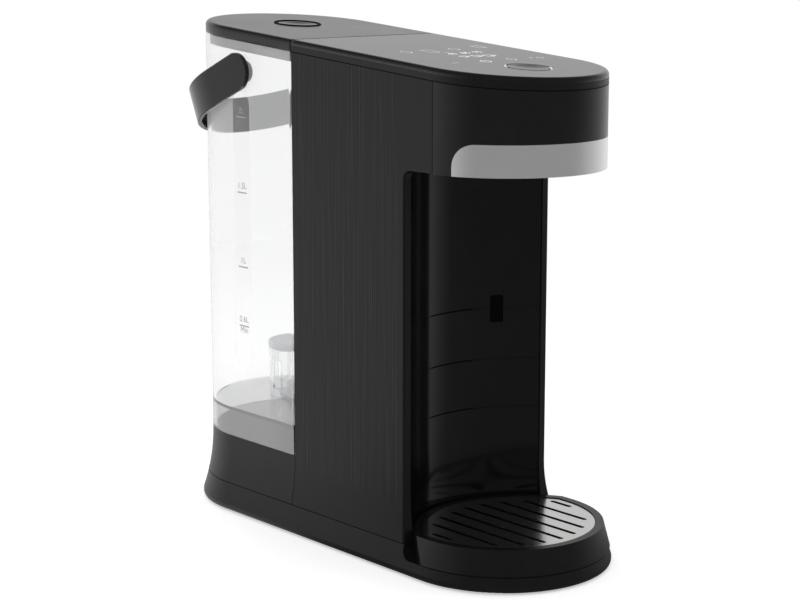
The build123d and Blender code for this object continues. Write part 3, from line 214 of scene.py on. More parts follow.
def makeRibGroup():
    # upright hairlines along a panel's length, uneven in height and broken here and there
    group, given = startGroup(
        "uprightRibs",
        {"Pitch": 620.0, "Depth": 0.6, "Front edge": ribs["frontEdge"], "Low edge": ribs["lowEdge"]},
        ("Crest", "Normal"),
    )
    parts = addPlaceParts(group)

    def fieldPast(part, edge, steepness):
        past = addMath(group, "SUBTRACT", parts[part], given[edge])
        return addMath(group, "MULTIPLY", past, steepness, clamp=True)

    along = addMath(group, "MULTIPLY", parts["Y"], given["Pitch"])
    crest = addMath(group, "SINE", addMath(group, "MULTIPLY", addMath(group, "FRACT", along), pi))
    rowPlace = addNode(
        group, "CombineXYZ",
        X=addMath(group, "FLOOR", along), Y=addMath(group, "MULTIPLY", parts["Z"], ribs["breaks"]),
    )
    uneven = addNode(
        group, "TexNoise", Vector=rowPlace["Vector"], Scale=ribs["unevenSize"], Detail=ribs["detail"],
    )
    height = addRange(group, uneven["Fac"], ribs["noneBelow"], ribs["fullAbove"])
    behind = fieldPast("Y", "Front edge", ribs["frontSteepness"])
    above = fieldPast("Z", "Low edge", ribs["lowSteepness"])
    field = addMath(group, "MULTIPLY", behind, above)
    raised = addMath(group, "MULTIPLY", addMath(group, "MULTIPLY", crest, height), field)
    bump = addNode(group, "Bump", Strength=given["Depth"], Distance=ribs["height"], Height=raised)
    return endGroup(group, Crest=raised, Normal=bump["Normal"])


brushLook = {"detail": 3.0, "height": 0.08 * mm}


def makeBrushGroup():
    # brushed metal: fine scratches drawn out along one direction
    group, given = startGroup(
        "brushedLines", {"Stretch": (2400.0, 12.0, 2400.0), "Depth": 0.25}, ("Tone", "Normal"),
    )
    drawnOut = addVectorMath(group, "MULTIPLY", addPlace(group), given["Stretch"])["Vector"]
    lines = addNode(group, "TexNoise", Vector=drawnOut, Scale=1.0, Detail=brushLook["detail"])
    bump = addNode(
        group, "Bump", Strength=given["Depth"], Distance=brushLook["height"], Height=lines["Fac"],
    )
    return endGroup(group, Tone=lines["Fac"], Normal=bump["Normal"])


def makeGrooveGroup():
    # 1 inside three level grooves of given heights, fading away from the middle of the wall
    heights = ("First", "Second", "Third")
    group, given = startGroup(
        "levelGrooves",
        {**dict.fromkeys(heights, 0.0), "Half": 0.4 * mm, "Fade from": 10.0 * mm, "Fade to": 30.0 * mm},
        ("Mask",),
    )
    parts = addPlaceParts(group)
    inside = [addMath(group, "COMPARE", parts["Z"], given[name], given["Half"]) for name in heights]
    total = addMath(group, "ADD", addMath(group, "ADD", inside[0], inside[1]), inside[2])
    fade = addRange(group, addMath(group, "ABSOLUTE", parts["X"]), given["Fade to"], given["Fade from"])
    return endGroup(group, Mask=addMath(group, "MULTIPLY", total, fade))


grainGroup = makeGrainGroup()
dustGroup = makeDustGroup()
ribGroup = makeRibGroup()
brushGroup = makeBrushGroup()
grooveGroup = makeGrooveGroup()
print("shader groups ready")


# materials

dustSizes = {"plastic": 55.0, "clear": 45.0, "mark": 400.0}
dustAmounts = {"clear": 0.3, "mark": 0.25}   # those of the plastics are in their finishes


def newMaterial(name):
    material = bpy.data.materials.new(name)
    material.use_nodes = True
    return material, material.node_tree


def setShader(tree, **values):
    feedAll(tree, tree.nodes["Principled BSDF"], values)


def opaque(colour):
    return (*colour, 1.0)


def placeGroup(tree, group, **values):
    node = tree.nodes.new("ShaderNodeGroup")
    node.node_tree = group
    feedAll(tree, node, values)
    return node.outputs


def placeGrain(tree, finish, **values):
    low, high = finish["rough"]
    return placeGroup(
        tree, grainGroup, Size=finish["grain"], Depth=finish["depth"], Rough_low=low, Rough_high=high,
        **values,
    )


def mixColours(tree, mask, low, high):
    mix = tree.nodes.new("ShaderNodeMix")
    mix.data_type = "RGBA"
    feedAll(tree, mix, {"Factor": mask, "A": opaque(low), "B": opaque(high)})
    return mix.outputs["Result"]


def mouldedPlastic(name, finish):
    # satin or glossy plastic with a moulded grain and a trace of dust
    material, tree = newMaterial(name)
    grain = placeGrain(tree, finish, Edge=finish["edge"])
    dust = placeGroup(tree, dustGroup, Size=dustSizes["plastic"], Amount=finish["dust"])
    setShader(
        tree, Base_Color=mixColours(tree, dust["Mask"], finish["colour"], finish["dustColour"]),
        Roughness=grain["Roughness"], Normal=grain["Normal"], IOR=finish["ior"],
    )
    return material


def groovedPlastic(name, finish):
    # moulded plastic without shine inside its level grooves
    material = mouldedPlastic(name, finish)
    tree = material.node_tree
    first, second, third = finish["levels"]
    grooves = placeGroup(
        tree, grooveGroup, First=first, Second=second, Third=third, Half=finish["half"],
        Fade_from=finish["fadeFrom"], Fade_to=finish["fadeTo"],
    )
    setShader(tree, Specular_IOR_Level=addRange(tree, grooves["Mask"], 0.0, 1.0, finish["shine"], 0.0))
    return material


def brushedMetal(name, finish):
    material, tree = newMaterial(name)
    brush = placeGroup(tree, brushGroup, Stretch=finish["stretch"], Depth=finish["depth"])
    setShader(
        tree, Base_Color=mixColours(tree, brush["Tone"], finish["dark"], finish["light"]),
        Normal=brush["Normal"], Metallic=finish["metallic"], Roughness=finish["rough"],
    )
    return material


def ribbedPlastic(name, finish):
    material, tree = newMaterial(name)
    lines = placeGroup(tree, ribGroup, Pitch=finish["pitch"], Depth=finish["depth"])
    # the lighter crest colour is a painted highlight on the ribs, over their real bump
    setShader(
        tree, Base_Color=mixColours(tree, lines["Crest"], finish["colour"], finish["crest"]),
        Normal=lines["Normal"], Roughness=finish["rough"], IOR=finish["ior"],
    )
    return material


def clearPlastic(name, finish):
    # clear moulding, dusty in patches, and greyer below a height where the finish has a shade grey, which
    # is painted shade
    material, tree = newMaterial(name)
    dust = placeGroup(tree, dustGroup, Size=dustSizes["clear"], Amount=dustAmounts["clear"])
    rough = addRange(tree, dust["Mask"], 0.0, 1.0, finish["rough"], finish["rough"] + finish["dusty"])
    colour = opaque(finish["colour"])
    if "grey" in finish:
        low = finish["greyTop"] - finish["greyFade"]
        below = addRange(tree, addPlaceParts(tree)["Z"], finish["greyTop"], low)
        colour = mixColours(tree, below, finish["colour"], finish["grey"])
    setShader(
        tree, Base_Color=colour, Roughness=rough, Transmission_Weight=finish["clear"], IOR=finish["ior"],
    )
    return material


def frostedSkin(name, finish):
    # the satin outside of the tank's wall, which lets most of what lies behind it through; its glow is
    # painted light that keeps the skin evenly bright
    material, tree = newMaterial(name)
    grain = placeGrain(tree, finish)
    colour = opaque(finish["colour"])
    setShader(
        tree, Base_Color=colour, Emission_Color=colour, Emission_Strength=finish["glow"],
        Roughness=grain["Roughness"], Normal=grain["Normal"], Alpha=finish["alpha"], IOR=finish["ior"],
    )
    return material


def litMark(name, finish):
    # printed or lit mark: its own colour with a slight glow
    material, tree = newMaterial(name)
    dust = placeGroup(tree, dustGroup, Size=dustSizes["mark"], Amount=dustAmounts["mark"])
    setShader(
        tree, Base_Color=mixColours(tree, dust["Mask"], finish["colour"], finish["worn"]),
        Emission_Color=opaque(finish["colour"]), Emission_Strength=finish["glow"],
        Roughness=finish["rough"],
    )
    return material


def plain(colour, dustColour, rough, grain=1100.0, depth=0.12, dust=0.1, ior=1.45, edge=0.0):
    return {
        "colour": colour, "dustColour": dustColour, "rough": rough, "grain": grain,
        "depth": depth, "dust": dust, "ior": ior, "edge": edge,
    }


def gloss(colour, dustColour, rough, **values):
    # as plain, with hardly any grain
    return plain(colour, dustColour, rough, 60.0, 0.01, **values)


softEdge = 2.4 * mm
finishes = {
    "satinBlack": plain((0.0060, 0.0060, 0.0066), (0.03, 0.03, 0.03), (0.34, 0.42), ior=1.42),
    "headBlack": plain((0.0050, 0.0050, 0.0055), (0.03, 0.03, 0.03), (0.24, 0.30), depth=0.06, ior=1.52),
    "trayBlack": plain((0.0040, 0.0040, 0.0044), (0.03, 0.03, 0.03), (0.26, 0.34), depth=0.08, ior=1.52),
    "lidBlack": plain(
        (0.0060, 0.0060, 0.0066), (0.03, 0.03, 0.03), (0.18, 0.24), depth=0.03, ior=1.55, edge=softEdge,
    ),
    "handleBlack": plain((0.0055, 0.0055, 0.0060), (0.04, 0.04, 0.04), (0.15, 0.19), ior=1.42),
    "topGloss": gloss(
        (0.0050, 0.0050, 0.0056), (0.02, 0.02, 0.02), (0.12, 0.16), ior=1.56, edge=softEdge,
    ),
    "windowDark": gloss((0.0010, 0.0008, 0.0010), (0.01, 0.01, 0.01), (0.30, 0.36), ior=1.2),
    # painted shade: a flat black without shine, for the seams and the groove round the lid button
    "paintedShadeBlack": plain((0.0015, 0.0015, 0.0015), (0.01, 0.01, 0.01), (0.6, 0.7), ior=1.2),
    "rubberBlack": plain((0.012, 0.012, 0.012), (0.05, 0.05, 0.05), (0.7, 0.8), 1400.0, 0.3),
    "sealGrey": plain((0.13, 0.13, 0.133), (0.4, 0.4, 0.4), (0.5, 0.6), 900.0, 0.1),
    "filterGrey": plain((0.48, 0.49, 0.50), (0.35, 0.35, 0.35), (0.35, 0.45)),
    "innerGrey": plain((0.16, 0.17, 0.18), (0.3, 0.3, 0.3), (0.4, 0.5), depth=0.2),
    "innerWhite": plain((0.62, 0.62, 0.60), (0.4, 0.4, 0.4), (0.4, 0.5), depth=0.2),
    "boardGreen": plain((0.02, 0.12, 0.05), (0.1, 0.2, 0.1), (0.3, 0.4), 500.0, 0.3),
    "siliconeHose": plain((0.55, 0.55, 0.53), (0.4, 0.4, 0.4), (0.35, 0.5), 500.0, 0.1),
}
specials = {
    "bayBlack": (groovedPlastic, {
        **gloss((0.0030, 0.0030, 0.0033), (0.02, 0.02, 0.02), (0.10, 0.14)), "shine": 0.5,
        "levels": (77.75 * mm, 106.55 * mm, 136.65 * mm), "half": 0.38 * mm,
        "fadeFrom": 14 * mm, "fadeTo": 21 * mm,
    }),
    "ribbedBlack": (ribbedPlastic, {
        # the crest colour is a painted highlight on the rib crests
        "colour": (0.0058, 0.0058, 0.0064), "crest": (0.0130, 0.0130, 0.0138),
        "pitch": 620.0, "depth": 0.26, "rough": 0.40, "ior": 1.41,
    }),
    "grilleSteel": (brushedMetal, {
        "dark": (0.80, 0.80, 0.79), "light": (0.97, 0.97, 0.96),
        "stretch": (2400.0, 14.0, 2400.0), "depth": 0.3, "rough": 0.20, "metallic": 1.0,
    }),
    "bandSilver": (brushedMetal, {
        "dark": (0.86, 0.86, 0.87), "light": (0.94, 0.94, 0.95),
        "stretch": (30.0, 30.0, 1800.0), "depth": 0.12, "rough": 0.25, "metallic": 0.8,
    }),
    "plainSteel": (brushedMetal, {
        "dark": (0.42, 0.42, 0.42), "light": (0.60, 0.60, 0.60),
        "stretch": (900.0, 900.0, 60.0), "depth": 0.2, "rough": 0.35, "metallic": 1.0,
    }),
    "clearTank": (clearPlastic, {
        # the grey below the tank's floor is painted shade
        "colour": (1.0, 1.0, 1.0), "grey": (0.62, 0.62, 0.63), "greyTop": 64.4 * mm, "greyFade": 2 * mm,
        "rough": 0.015, "dusty": 0.1, "clear": 1.0, "ior": 1.15,
    }),
    "clearCup": (clearPlastic, {
        "colour": (0.95, 0.955, 0.96), "rough": 0.06, "dusty": 0.1, "clear": 0.92, "ior": 1.25,
    }),
    "frostedSkin": (frostedSkin, {
        "colour": (0.88, 0.885, 0.89), "grain": 700.0, "depth": 0.02, "rough": (0.30, 0.38),
        # the glow is painted light on the satin skin
        "alpha": 0.146, "glow": 0.40, "ior": 1.2,
    }),
    "markInk": (litMark, {
        "colour": (0.42, 0.42, 0.43), "worn": (0.5, 0.5, 0.51), "rough": 0.5, "glow": 0.0,
    }),
    # this glowing white also makes the painted highlight on the dispense button's lip
    "iconAndHighlightWhite": (litMark, {
        "colour": (0.82, 0.83, 0.85), "worn": (0.7, 0.7, 0.72), "rough": 0.35, "glow": 0.55,
    }),
    "iconDim": (litMark, {
        "colour": (0.62, 0.63, 0.64), "worn": (0.55, 0.55, 0.56), "rough": 0.35, "glow": 0.42,
    }),
}
madeOf = {name: mouldedPlastic(name, finish) for name, finish in finishes.items()}
madeOf.update({name: maker(name, finish) for name, (maker, finish) in specials.items()})

wornBy = {
    "satinBlack": (
        "base_pan", "bottom_plate", "rear_base_cover", "bulkhead", "spout_plate", "nozzle", "top_collar",
        "handle_pins",
    ),
    "rubberBlack": (
        "rubber_feet", "cord_gland", "dock_seal", "button_dome", "pump_cradle", "valve_washer",
    ),
    "plainSteel": (
        "base_screws", "nozzle_strainer", "pump_motor", "heater", "heater_bracket", "hose_clamps",
        "valve_spring", "lid_button_spring",
    ),
    "ribbedBlack": ("left_side_panel", "right_side_panel"),
    "innerGrey": ("tank_dock", "button_switch", "thermal_cutouts", "power_parts"),
    "innerWhite": ("board_lights", "pump_housing", "flow_meter", "pump_impeller"),
    "boardGreen": ("control_board", "power_board"),
    "siliconeHose": ("inlet_hose", "pump_hoses", "outlet_hose"),
    "filterGrey": ("filter_cap", "valve_body", "valve_plunger"),
    "topGloss": ("top_cover", "lid_button", "dispense_button"),
    "bayBlack": ("bay_wall",),
    "windowDark": ("sensor_window",),
    "headBlack": ("spout_head",),
    "bandSilver": ("accent_band",),
    "clearTank": ("tank_shell",),
    "clearCup": ("filter_cup",),
    "lidBlack": ("tank_lid",),
    "sealGrey": ("lid_seal",),
    "handleBlack": ("handle_strap",),
    "trayBlack": ("drip_tray",),
    "grilleSteel": ("drip_grille",),
}
for finishName, nodeNames in wornBy.items():
    for nodeName in nodeNames:
        mesh = nodes[nodeName].data
        mesh.materials.clear()
        mesh.materials.append(madeOf[finishName])
print("materials on", sum(len(nodeNames) for nodeNames in wornBy.values()), "nodes")


# places that the pieces share: the frame's boxes, and the tilted top

topTilt = radians(4.7)
rimZ = 274.1 * mm   # height of the tank's tilted rim over the front axis
topRise = 6.5 * mm   # collar and cover, along the tilted normal
tankLow, tankHigh = (Vector(corner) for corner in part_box("tank_shell"))
coverLow = Vector(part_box("top_cover")[0])
bodyRadius = tankHigh.x
frontAxisY = coverLow.y + bodyRadius
backAxisY = tankHigh.y - bodyRadius


def rimAt(y):
    return rimZ + (y - frontAxisY) * tan(topTilt)


def topAt(y):
    return rimAt(y) + topRise / cos(topTilt)


# satin skin on the tank's wall, open where the level strip is polished

frost = {
    "gap": 0.05 * mm, "thickness": 0.08 * mm, "headroom": 0.3 * mm, "front": 0.6 * mm, "overRim": 20 * mm,
    "stripY": 72.0 * mm, "stripWidth": 16.0 * mm, "stripLow": 92.0 * mm, "stripHigh": 258.0 * mm,
    "stripCut": 4 * mm, "endCut": 3 * mm, "smooth": radians(30),
    "pinZ": 269.7 * mm, "pinY": 71.2 * mm, "pinRadius": 3.4 * mm,
}
roundSteps = 160
touching = 0.01 * mm   # near enough to count as on a plane


def makeRoundWall(name, axisY, radius, low, high, endY):
    # an open wall round one end of the body, drawn along both sides to endY
    deselectAll()
    bpy.ops.mesh.primitive_cylinder_add(
        vertices=roundSteps, radius=radius, depth=high - low, end_fill_type="NOTHING",
        location=(0, axisY, (low + high) / 2),
    )
    wall = bpy.context.object
    wall.name = name
    applyPlace(wall)
    bpy.ops.object.mode_set(mode="EDIT")
    bpy.ops.mesh.select_all(action="SELECT")
    bpy.ops.mesh.bisect(
        plane_co=(0, axisY, 0), plane_no=(0, copysign(1, endY - axisY), 0), clear_outer=True,
    )
    bpy.ops.object.mode_set(mode="OBJECT")
    for vertex in wall.data.vertices:
        vertex.select = abs(vertex.co.y - axisY) < touching
    bpy.ops.object.mode_set(mode="EDIT")
    bpy.ops.mesh.select_mode(type="EDGE")
    bpy.ops.mesh.extrude_region_move(TRANSFORM_OT_translate={"value": (0, endY - axisY, 0)})
    bpy.ops.mesh.select_all(action="SELECT")
    bpy.ops.mesh.normals_make_consistent(inside=False)
    bpy.ops.object.mode_set(mode="OBJECT")
    return wall


def trimWall(wall, drop, upper):
    # cut the wall off at a drop below the tilted rim: what lies above the cut goes, or what lies below
    makeActive(wall)
    bpy.ops.object.mode_set(mode="EDIT")
    bpy.ops.mesh.select_all(action="SELECT")
    bpy.ops.mesh.bisect(
        plane_co=(0, frontAxisY, rimZ - drop), plane_no=(0, -sin(topTilt), cos(topTilt)),
        clear_outer=upper, clear_inner=not upper,
    )
    bpy.ops.object.mode_set(mode="OBJECT")


def makeFrostSkin():
    # the skin, with a slot for the strip, rounded at both ends, and a hole for each pin of the handle
    skin = makeRoundWall(
        "tankFrost", backAxisY, bodyRadius + frost["gap"], tankLow.z + frost["headroom"],
        tankHigh.z + frost["overRim"], tankLow.y + frost["front"],
    )
    trimWall(skin, frost["headroom"], True)
    applyModifier(skin, "SOLIDIFY", thickness=frost["thickness"], offset=1.0)
    half = frost["stripWidth"] / 2
    bpy.ops.mesh.primitive_cube_add(
        size=1, location=(-bodyRadius, frost["stripY"], (frost["stripLow"] + frost["stripHigh"]) / 2),
        scale=(frost["stripCut"], frost["stripWidth"], frost["stripHigh"] - frost["stripLow"] - 2 * half),
    )
    cutters = [bpy.context.object]
    for z in (frost["stripLow"] + half, frost["stripHigh"] - half):
        bpy.ops.mesh.primitive_cylinder_add(
            vertices=48, radius=half, depth=frost["endCut"], rotation=(0, pi / 2, 0),
            location=(-bodyRadius, frost["stripY"], z),
        )
        cutters.append(bpy.context.object)
    bpy.ops.mesh.primitive_cylinder_add(
        vertices=32, radius=frost["pinRadius"], depth=3 * bodyRadius, rotation=(0, pi / 2, 0),
        location=(0, frost["pinY"], frost["pinZ"]),
    )
    cutters.append(bpy.context.object)
    for cutter in cutters:
        applyPlace(cutter)
        cutWith(skin, cutter)
    makeActive(skin)
    bpy.ops.object.shade_smooth_by_angle(angle=frost["smooth"])
    return skin


finishPiece(makeFrostSkin(), "tank", madeOf["frostedSkin"])


# level marks printed on the polished strip

marks = {
    "x": -bodyRadius - 0.06 * mm, "ink": 0.04 * mm, "line": (9.2 * mm, 0.75 * mm), "rounding": 0.2 * mm,
    "text": 5.2 * mm, "capital": 0.75, "gap": 1.3 * mm, "curveSteps": 4,
    "levels": (
        ("2L", 243.0 * mm, "above"), ("1.5L", 198.3 * mm, "above"), ("1L", 153.5 * mm, "above"),
        ("0.6L", 117.6 * mm, "above"), ("Min", 117.6 * mm, "below"),
    ),
}


def makeText(words, size, depth):
    deselectAll()
    bpy.ops.object.text_add()
    text = bpy.context.object
    text.data.body = words
    text.data.size = size
    text.data.align_x = "CENTER"
    text.data.align_y = "BOTTOM"
    text.data.extrude = depth / 2
    text.data.resolution_u = marks["curveSteps"]
    bpy.ops.object.convert(target="MESH")
    return bpy.context.object


def makeLevelMarks():
    pieces = []
    length, height = marks["line"]
    for z in sorted({level[1] for level in marks["levels"]}):
        bpy.ops.mesh.primitive_cube_add(
            size=1, location=(marks["x"], frost["stripY"], z), scale=(marks["ink"], length, height),
        )
        bar = bpy.context.object
        applyPlace(bar)
        applyModifier(bar, "BEVEL", width=marks["rounding"], segments=2, limit_method="ANGLE")
        pieces.append(bar)
    for words, z, side in marks["levels"]:
        text = makeText(words, marks["text"], marks["ink"])
        text.rotation_euler = (pi / 2, 0, -pi / 2)
        rise = marks["gap"] if side == "above" else -marks["gap"] - marks["text"] * marks["capital"]
        text.location = (marks["x"], frost["stripY"], z + rise)
        applyPlace(text)
        pieces.append(text)
    return joinPieces(pieces, "levelMarks")


finishPiece(makeLevelMarks(), "tank", madeOf["markInk"])


# icons on the glossy top, bright and dim; their places (across, behind the front axis) and sizes are
# in millimetres

icons = {
    "lift": 0.03 * mm, "depth": 0.05 * mm, "rim": 0.6,
    "cups": ((-5.2, 27.5, 4.6), (3, 26.5, 5.4), (12, 26, 6.2)),
    "heats": (("40", -4.2, 35), ("85", 7, 36), ("95", 17, 37)), "heatSize": 6.4,
    "power": (-7.1, 8.3, 3.4),
    "bars": ((-2.6, 43.8, 4), (-29, 9, 5)), "barWidth": 0.7, "barRounding": 0.15,
    "drops": ((-25.3, 53, 3.1), (11.8, 54.4, 3.1), (14.2, 10.5, 2.8)),
    "cards": ((-9.2, 51, 4.9), (34.5, 57.8, 4.4)), "stretch": 1.45,
    "rings": ((29.8, 10.5, 1.2), (35.6, 9.5, 2.3)),
}
cupShape = {
    "corner": 1.4142 / 2, "rim": 0.55, "foot": 0.72,
    "handle": 0.26, "handleRim": 0.45, "handlePlace": 0.62,
}
powerShape = {"openingWidth": 0.8, "openingDepth": 0.9, "barPlace": 0.75}
dropSteps = ((0.05, 0.94), (0.25, 0.88), (0.45, 0.82), (0.65, 0.72), (0.85, 0.55))


def placeOnTop(piece, x, back):
    # from a flat mark about the origin to its place on the tilted top
    y = frontAxisY + back * mm
    piece.rotation_euler = (topTilt, 0, 0)
    piece.location = (x * mm, y, topAt(y) + icons["lift"])
    applyPlace(piece)
    return piece


def raiseMark(piece):
    bpy.ops.object.mode_set(mode="EDIT")
    bpy.ops.mesh.select_all(action="SELECT")
    bpy.ops.mesh.extrude_region_move(TRANSFORM_OT_translate={"value": (0, 0, icons["depth"])})
    bpy.ops.mesh.select_all(action="SELECT")
    bpy.ops.mesh.normals_make_consistent(inside=False)
    bpy.ops.object.mode_set(mode="OBJECT")
    return piece


def stretchPicked(piece, across, back):
    # a stretch of the vertices that are picked, about their middle
    bpy.ops.object.mode_set(mode="EDIT")
    bpy.ops.transform.resize(value=(across, back, 1))
    bpy.ops.object.mode_set(mode="OBJECT")
    return piece


def stretchBack(mark):
    bpy.ops.object.mode_set(mode="EDIT")
    bpy.ops.mesh.select_all(action="SELECT")
    bpy.ops.object.mode_set(mode="OBJECT")
    return stretchPicked(mark, 1, icons["stretch"])


def makeOutline(vertices, radius, rim, turn=0.0):
    # a flat closed outline: a filled circle, inset, with its middle taken out
    deselectAll()
    bpy.ops.mesh.primitive_circle_add(
        vertices=vertices, radius=radius * mm, fill_type="NGON", rotation=(0, 0, turn),
    )
    piece = bpy.context.object
    applyPlace(piece)
    bpy.ops.object.mode_set(mode="EDIT")
    bpy.ops.mesh.select_all(action="SELECT")
    bpy.ops.mesh.inset(thickness=rim * mm)
    bpy.ops.mesh.delete(type="FACE")
    bpy.ops.object.mode_set(mode="OBJECT")
    return piece


def makeCupIcon(size):
    # a cup from the side: a tapered outline with a round handle
    cup = makeOutline(4, size * cupShape["corner"], cupShape["rim"], pi / 4)
    for vertex in cup.data.vertices:
        vertex.select = vertex.co.y < 0
    stretchPicked(cup, cupShape["foot"], 1)
    raiseMark(cup)
    handle = raiseMark(makeOutline(16, size * cupShape["handle"], cupShape["handleRim"]))
    handle.location = (size * cupShape["handlePlace"] * mm, 0, 0)
    applyPlace(handle)
    return joinPieces([cup, handle], "cupIcon")


def makePowerIcon(radius):
    # a ring open at the top, with an upright bar in the opening
    ring = raiseMark(makeOutline(28, radius, icons["rim"]))
    width, depth = radius * powerShape["openingWidth"] * mm, radius * powerShape["openingDepth"] * mm
    deselectAll()
    bpy.ops.mesh.primitive_cube_add(
        size=1, location=(0, radius * mm, 0), scale=(width, depth, 4 * icons["depth"]),
    )
    opening = bpy.context.object
    applyPlace(opening)
    cutWith(ring, opening)
    bar = makeBar(icons["rim"], radius)
    bar.location = (0, radius * powerShape["barPlace"] * mm, icons["depth"] / 2)
    applyPlace(bar)
    return joinPieces([ring, bar], "powerIcon")


def makeDropIcon(radius):
    # an outlined drop: a ring whose far side is narrowed in steps to a point
    drop = makeOutline(32, radius, icons["rim"])
    for level, narrow in dropSteps:
        for vertex in drop.data.vertices:
            vertex.select = vertex.co.y > radius * level * mm
        stretchPicked(drop, narrow, 1)
    return stretchBack(raiseMark(drop))


def makeCardIcon(radius):
    # an outlined card with four corners
    return stretchBack(raiseMark(makeOutline(4, radius, icons["rim"], pi / 4)))


def makeBar(length, width):
    deselectAll()
    bpy.ops.mesh.primitive_cube_add(size=1, scale=(length * mm, width * mm, icons["depth"]))
    bar = bpy.context.object
    applyPlace(bar)
    applyModifier(bar, "BEVEL", width=icons["barRounding"] * mm, segments=2, limit_method="ANGLE")
    return bar


def makeLitIcons():
    pieces = []
    for x, back, size in icons["cups"]:
        pieces.append(placeOnTop(makeCupIcon(size), x, back))
    for words, x, back in icons["heats"]:
        pieces.append(placeOnTop(makeText(words, icons["heatSize"] * mm, icons["depth"]), x, back))
    x, back, radius = icons["power"]
    pieces.append(placeOnTop(makePowerIcon(radius), x, back))
    return joinPieces(pieces, "litIcons")


def makeDimIcons():
    pieces = []
    for x, back, length in icons["bars"]:
        pieces.append(placeOnTop(makeBar(length, icons["barWidth"]), x, back))
    pieces += [placeOnTop(makeDropIcon(radius), x, back) for x, back, radius in icons["drops"]]
    pieces += [placeOnTop(makeCardIcon(radius), x, back) for x, back, radius in icons["cards"]]
    for x, back, radius in icons["rings"]:
        pieces.append(placeOnTop(raiseMark(makeOutline(20, radius, icons["rim"])), x, back))
    return joinPieces(pieces, "dimIcons")


finishPiece(makeLitIcons(), "body", madeOf["iconAndHighlightWhite"])
finishPiece(makeDimIcons(), "body", madeOf["iconDim"])


# dark lips round the two buttons, the lid's a ring of painted shade in the groove round its button, and a
# painted highlight on the ends of the dispense button's lip

lips = {
    "dispense": {"back": -17.0 * mm, "radius": 12.6 * mm, "wire": 0.2 * mm, "rise": -0.12 * mm},
    "lid": {"back": 181.0 * mm, "radius": 13.75 * mm, "wire": 0.62 * mm, "rise": 0.0},
    "paintedHighlight": {"wire": 0.3 * mm, "from": 0.93, "towards": (0.75, -0.66, 0.0)},
    "ringSteps": 96, "wireSteps": 10,
}


def makeLip(name, lip, wire):
    y = frontAxisY + lip["back"]
    deselectAll()
    bpy.ops.mesh.primitive_torus_add(
        major_segments=lips["ringSteps"], minor_segments=lips["wireSteps"],
        major_radius=lip["radius"], minor_radius=wire,
        location=(0, y, topAt(y) + lip["rise"]), rotation=(topTilt, 0, 0),
    )
    ring = bpy.context.object
    ring.name = name
    applyPlace(ring)
    bpy.ops.object.shade_smooth()
    return ring


def makePaintedHighlight():
    # the painted highlight: the two ends of the dispense button's lip that lie farthest along the
    # highlight's direction, in a glowing white
    lip, paintedHighlight = lips["dispense"], lips["paintedHighlight"]
    towards = Vector(paintedHighlight["towards"])
    middle = Vector((0, frontAxisY + lip["back"], 0))
    ends = []
    for side in (-1, 1):
        end = makeLip("paintedHighlightEnd", lip, paintedHighlight["wire"])
        bpy.ops.object.mode_set(mode="EDIT")
        bpy.ops.mesh.select_all(action="SELECT")
        bpy.ops.mesh.bisect(
            plane_co=middle + side * towards * lip["radius"] * paintedHighlight["from"], plane_no=-side * towards,
            use_fill=True, clear_outer=True,
        )
        bpy.ops.object.mode_set(mode="OBJECT")
        ends.append(end)
    return joinPieces(ends, "dispensePaintedHighlight")


dispenseLip = makeLip("dispenseLip", lips["dispense"], lips["dispense"]["wire"])
finishPiece(dispenseLip, "body", madeOf["topGloss"])
# glowing arcs of painted highlight on the dispense button's lip
finishPiece(makePaintedHighlight(), "body", madeOf["iconAndHighlightWhite"])
# the lid's lip is a black ring of painted shade in the groove round its button
lidShadeRing = makeLip("lidShadeRing", lips["lid"], lips["lid"]["wire"])
finishPiece(lidShadeRing, "lid", madeOf["paintedShadeBlack"])


# painted shade in the seams: flat black strips over the base pan, and under the collar of the top

seam = {
    "proud": 0.04 * mm, "depth": 0.5 * mm, "height": 0.55 * mm,
    "footY": -75.4 * mm,   # where the foot of a side panel ends
    "underRim": 20 * mm, "overRim": 40 * mm,
}


def makeBaseSeamShade():
    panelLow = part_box("left_side_panel")[0]
    half = seam["height"] / 2
    line = makeRoundWall(
        "baseSeamShade", backAxisY, seam["proud"] - panelLow.x, panelLow.z - half, panelLow.z + half,
        seam["footY"],
    )
    applyModifier(line, "SOLIDIFY", thickness=seam["depth"], offset=-1.0)
    return line


def makeCollarSeamShade():
    line = makeRoundWall(
        "collarSeamShade", frontAxisY, bodyRadius + seam["proud"], rimZ - seam["underRim"],
        rimZ + seam["overRim"], tankLow.y - frost["front"],
    )
    trimWall(line, 0.0, True)
    trimWall(line, seam["height"], False)
    applyModifier(line, "SOLIDIFY", thickness=seam["depth"], offset=-1.0)
    return line


finishPiece(makeBaseSeamShade(), "body", madeOf["paintedShadeBlack"])
finishPiece(makeCollarSeamShade(), "body", madeOf["paintedShadeBlack"])


# cross recesses in the heads of the base screws

recess = {
    "radius": 3.0 * mm, "cover": 1.02, "head": 1.9 * mm, "stand": 0.75 * mm, "rounding": 0.35 * mm,
    "arm": 3.6 * mm, "width": 0.9 * mm, "depth": 0.7 * mm, "fromAxis": 15 * mm,
}


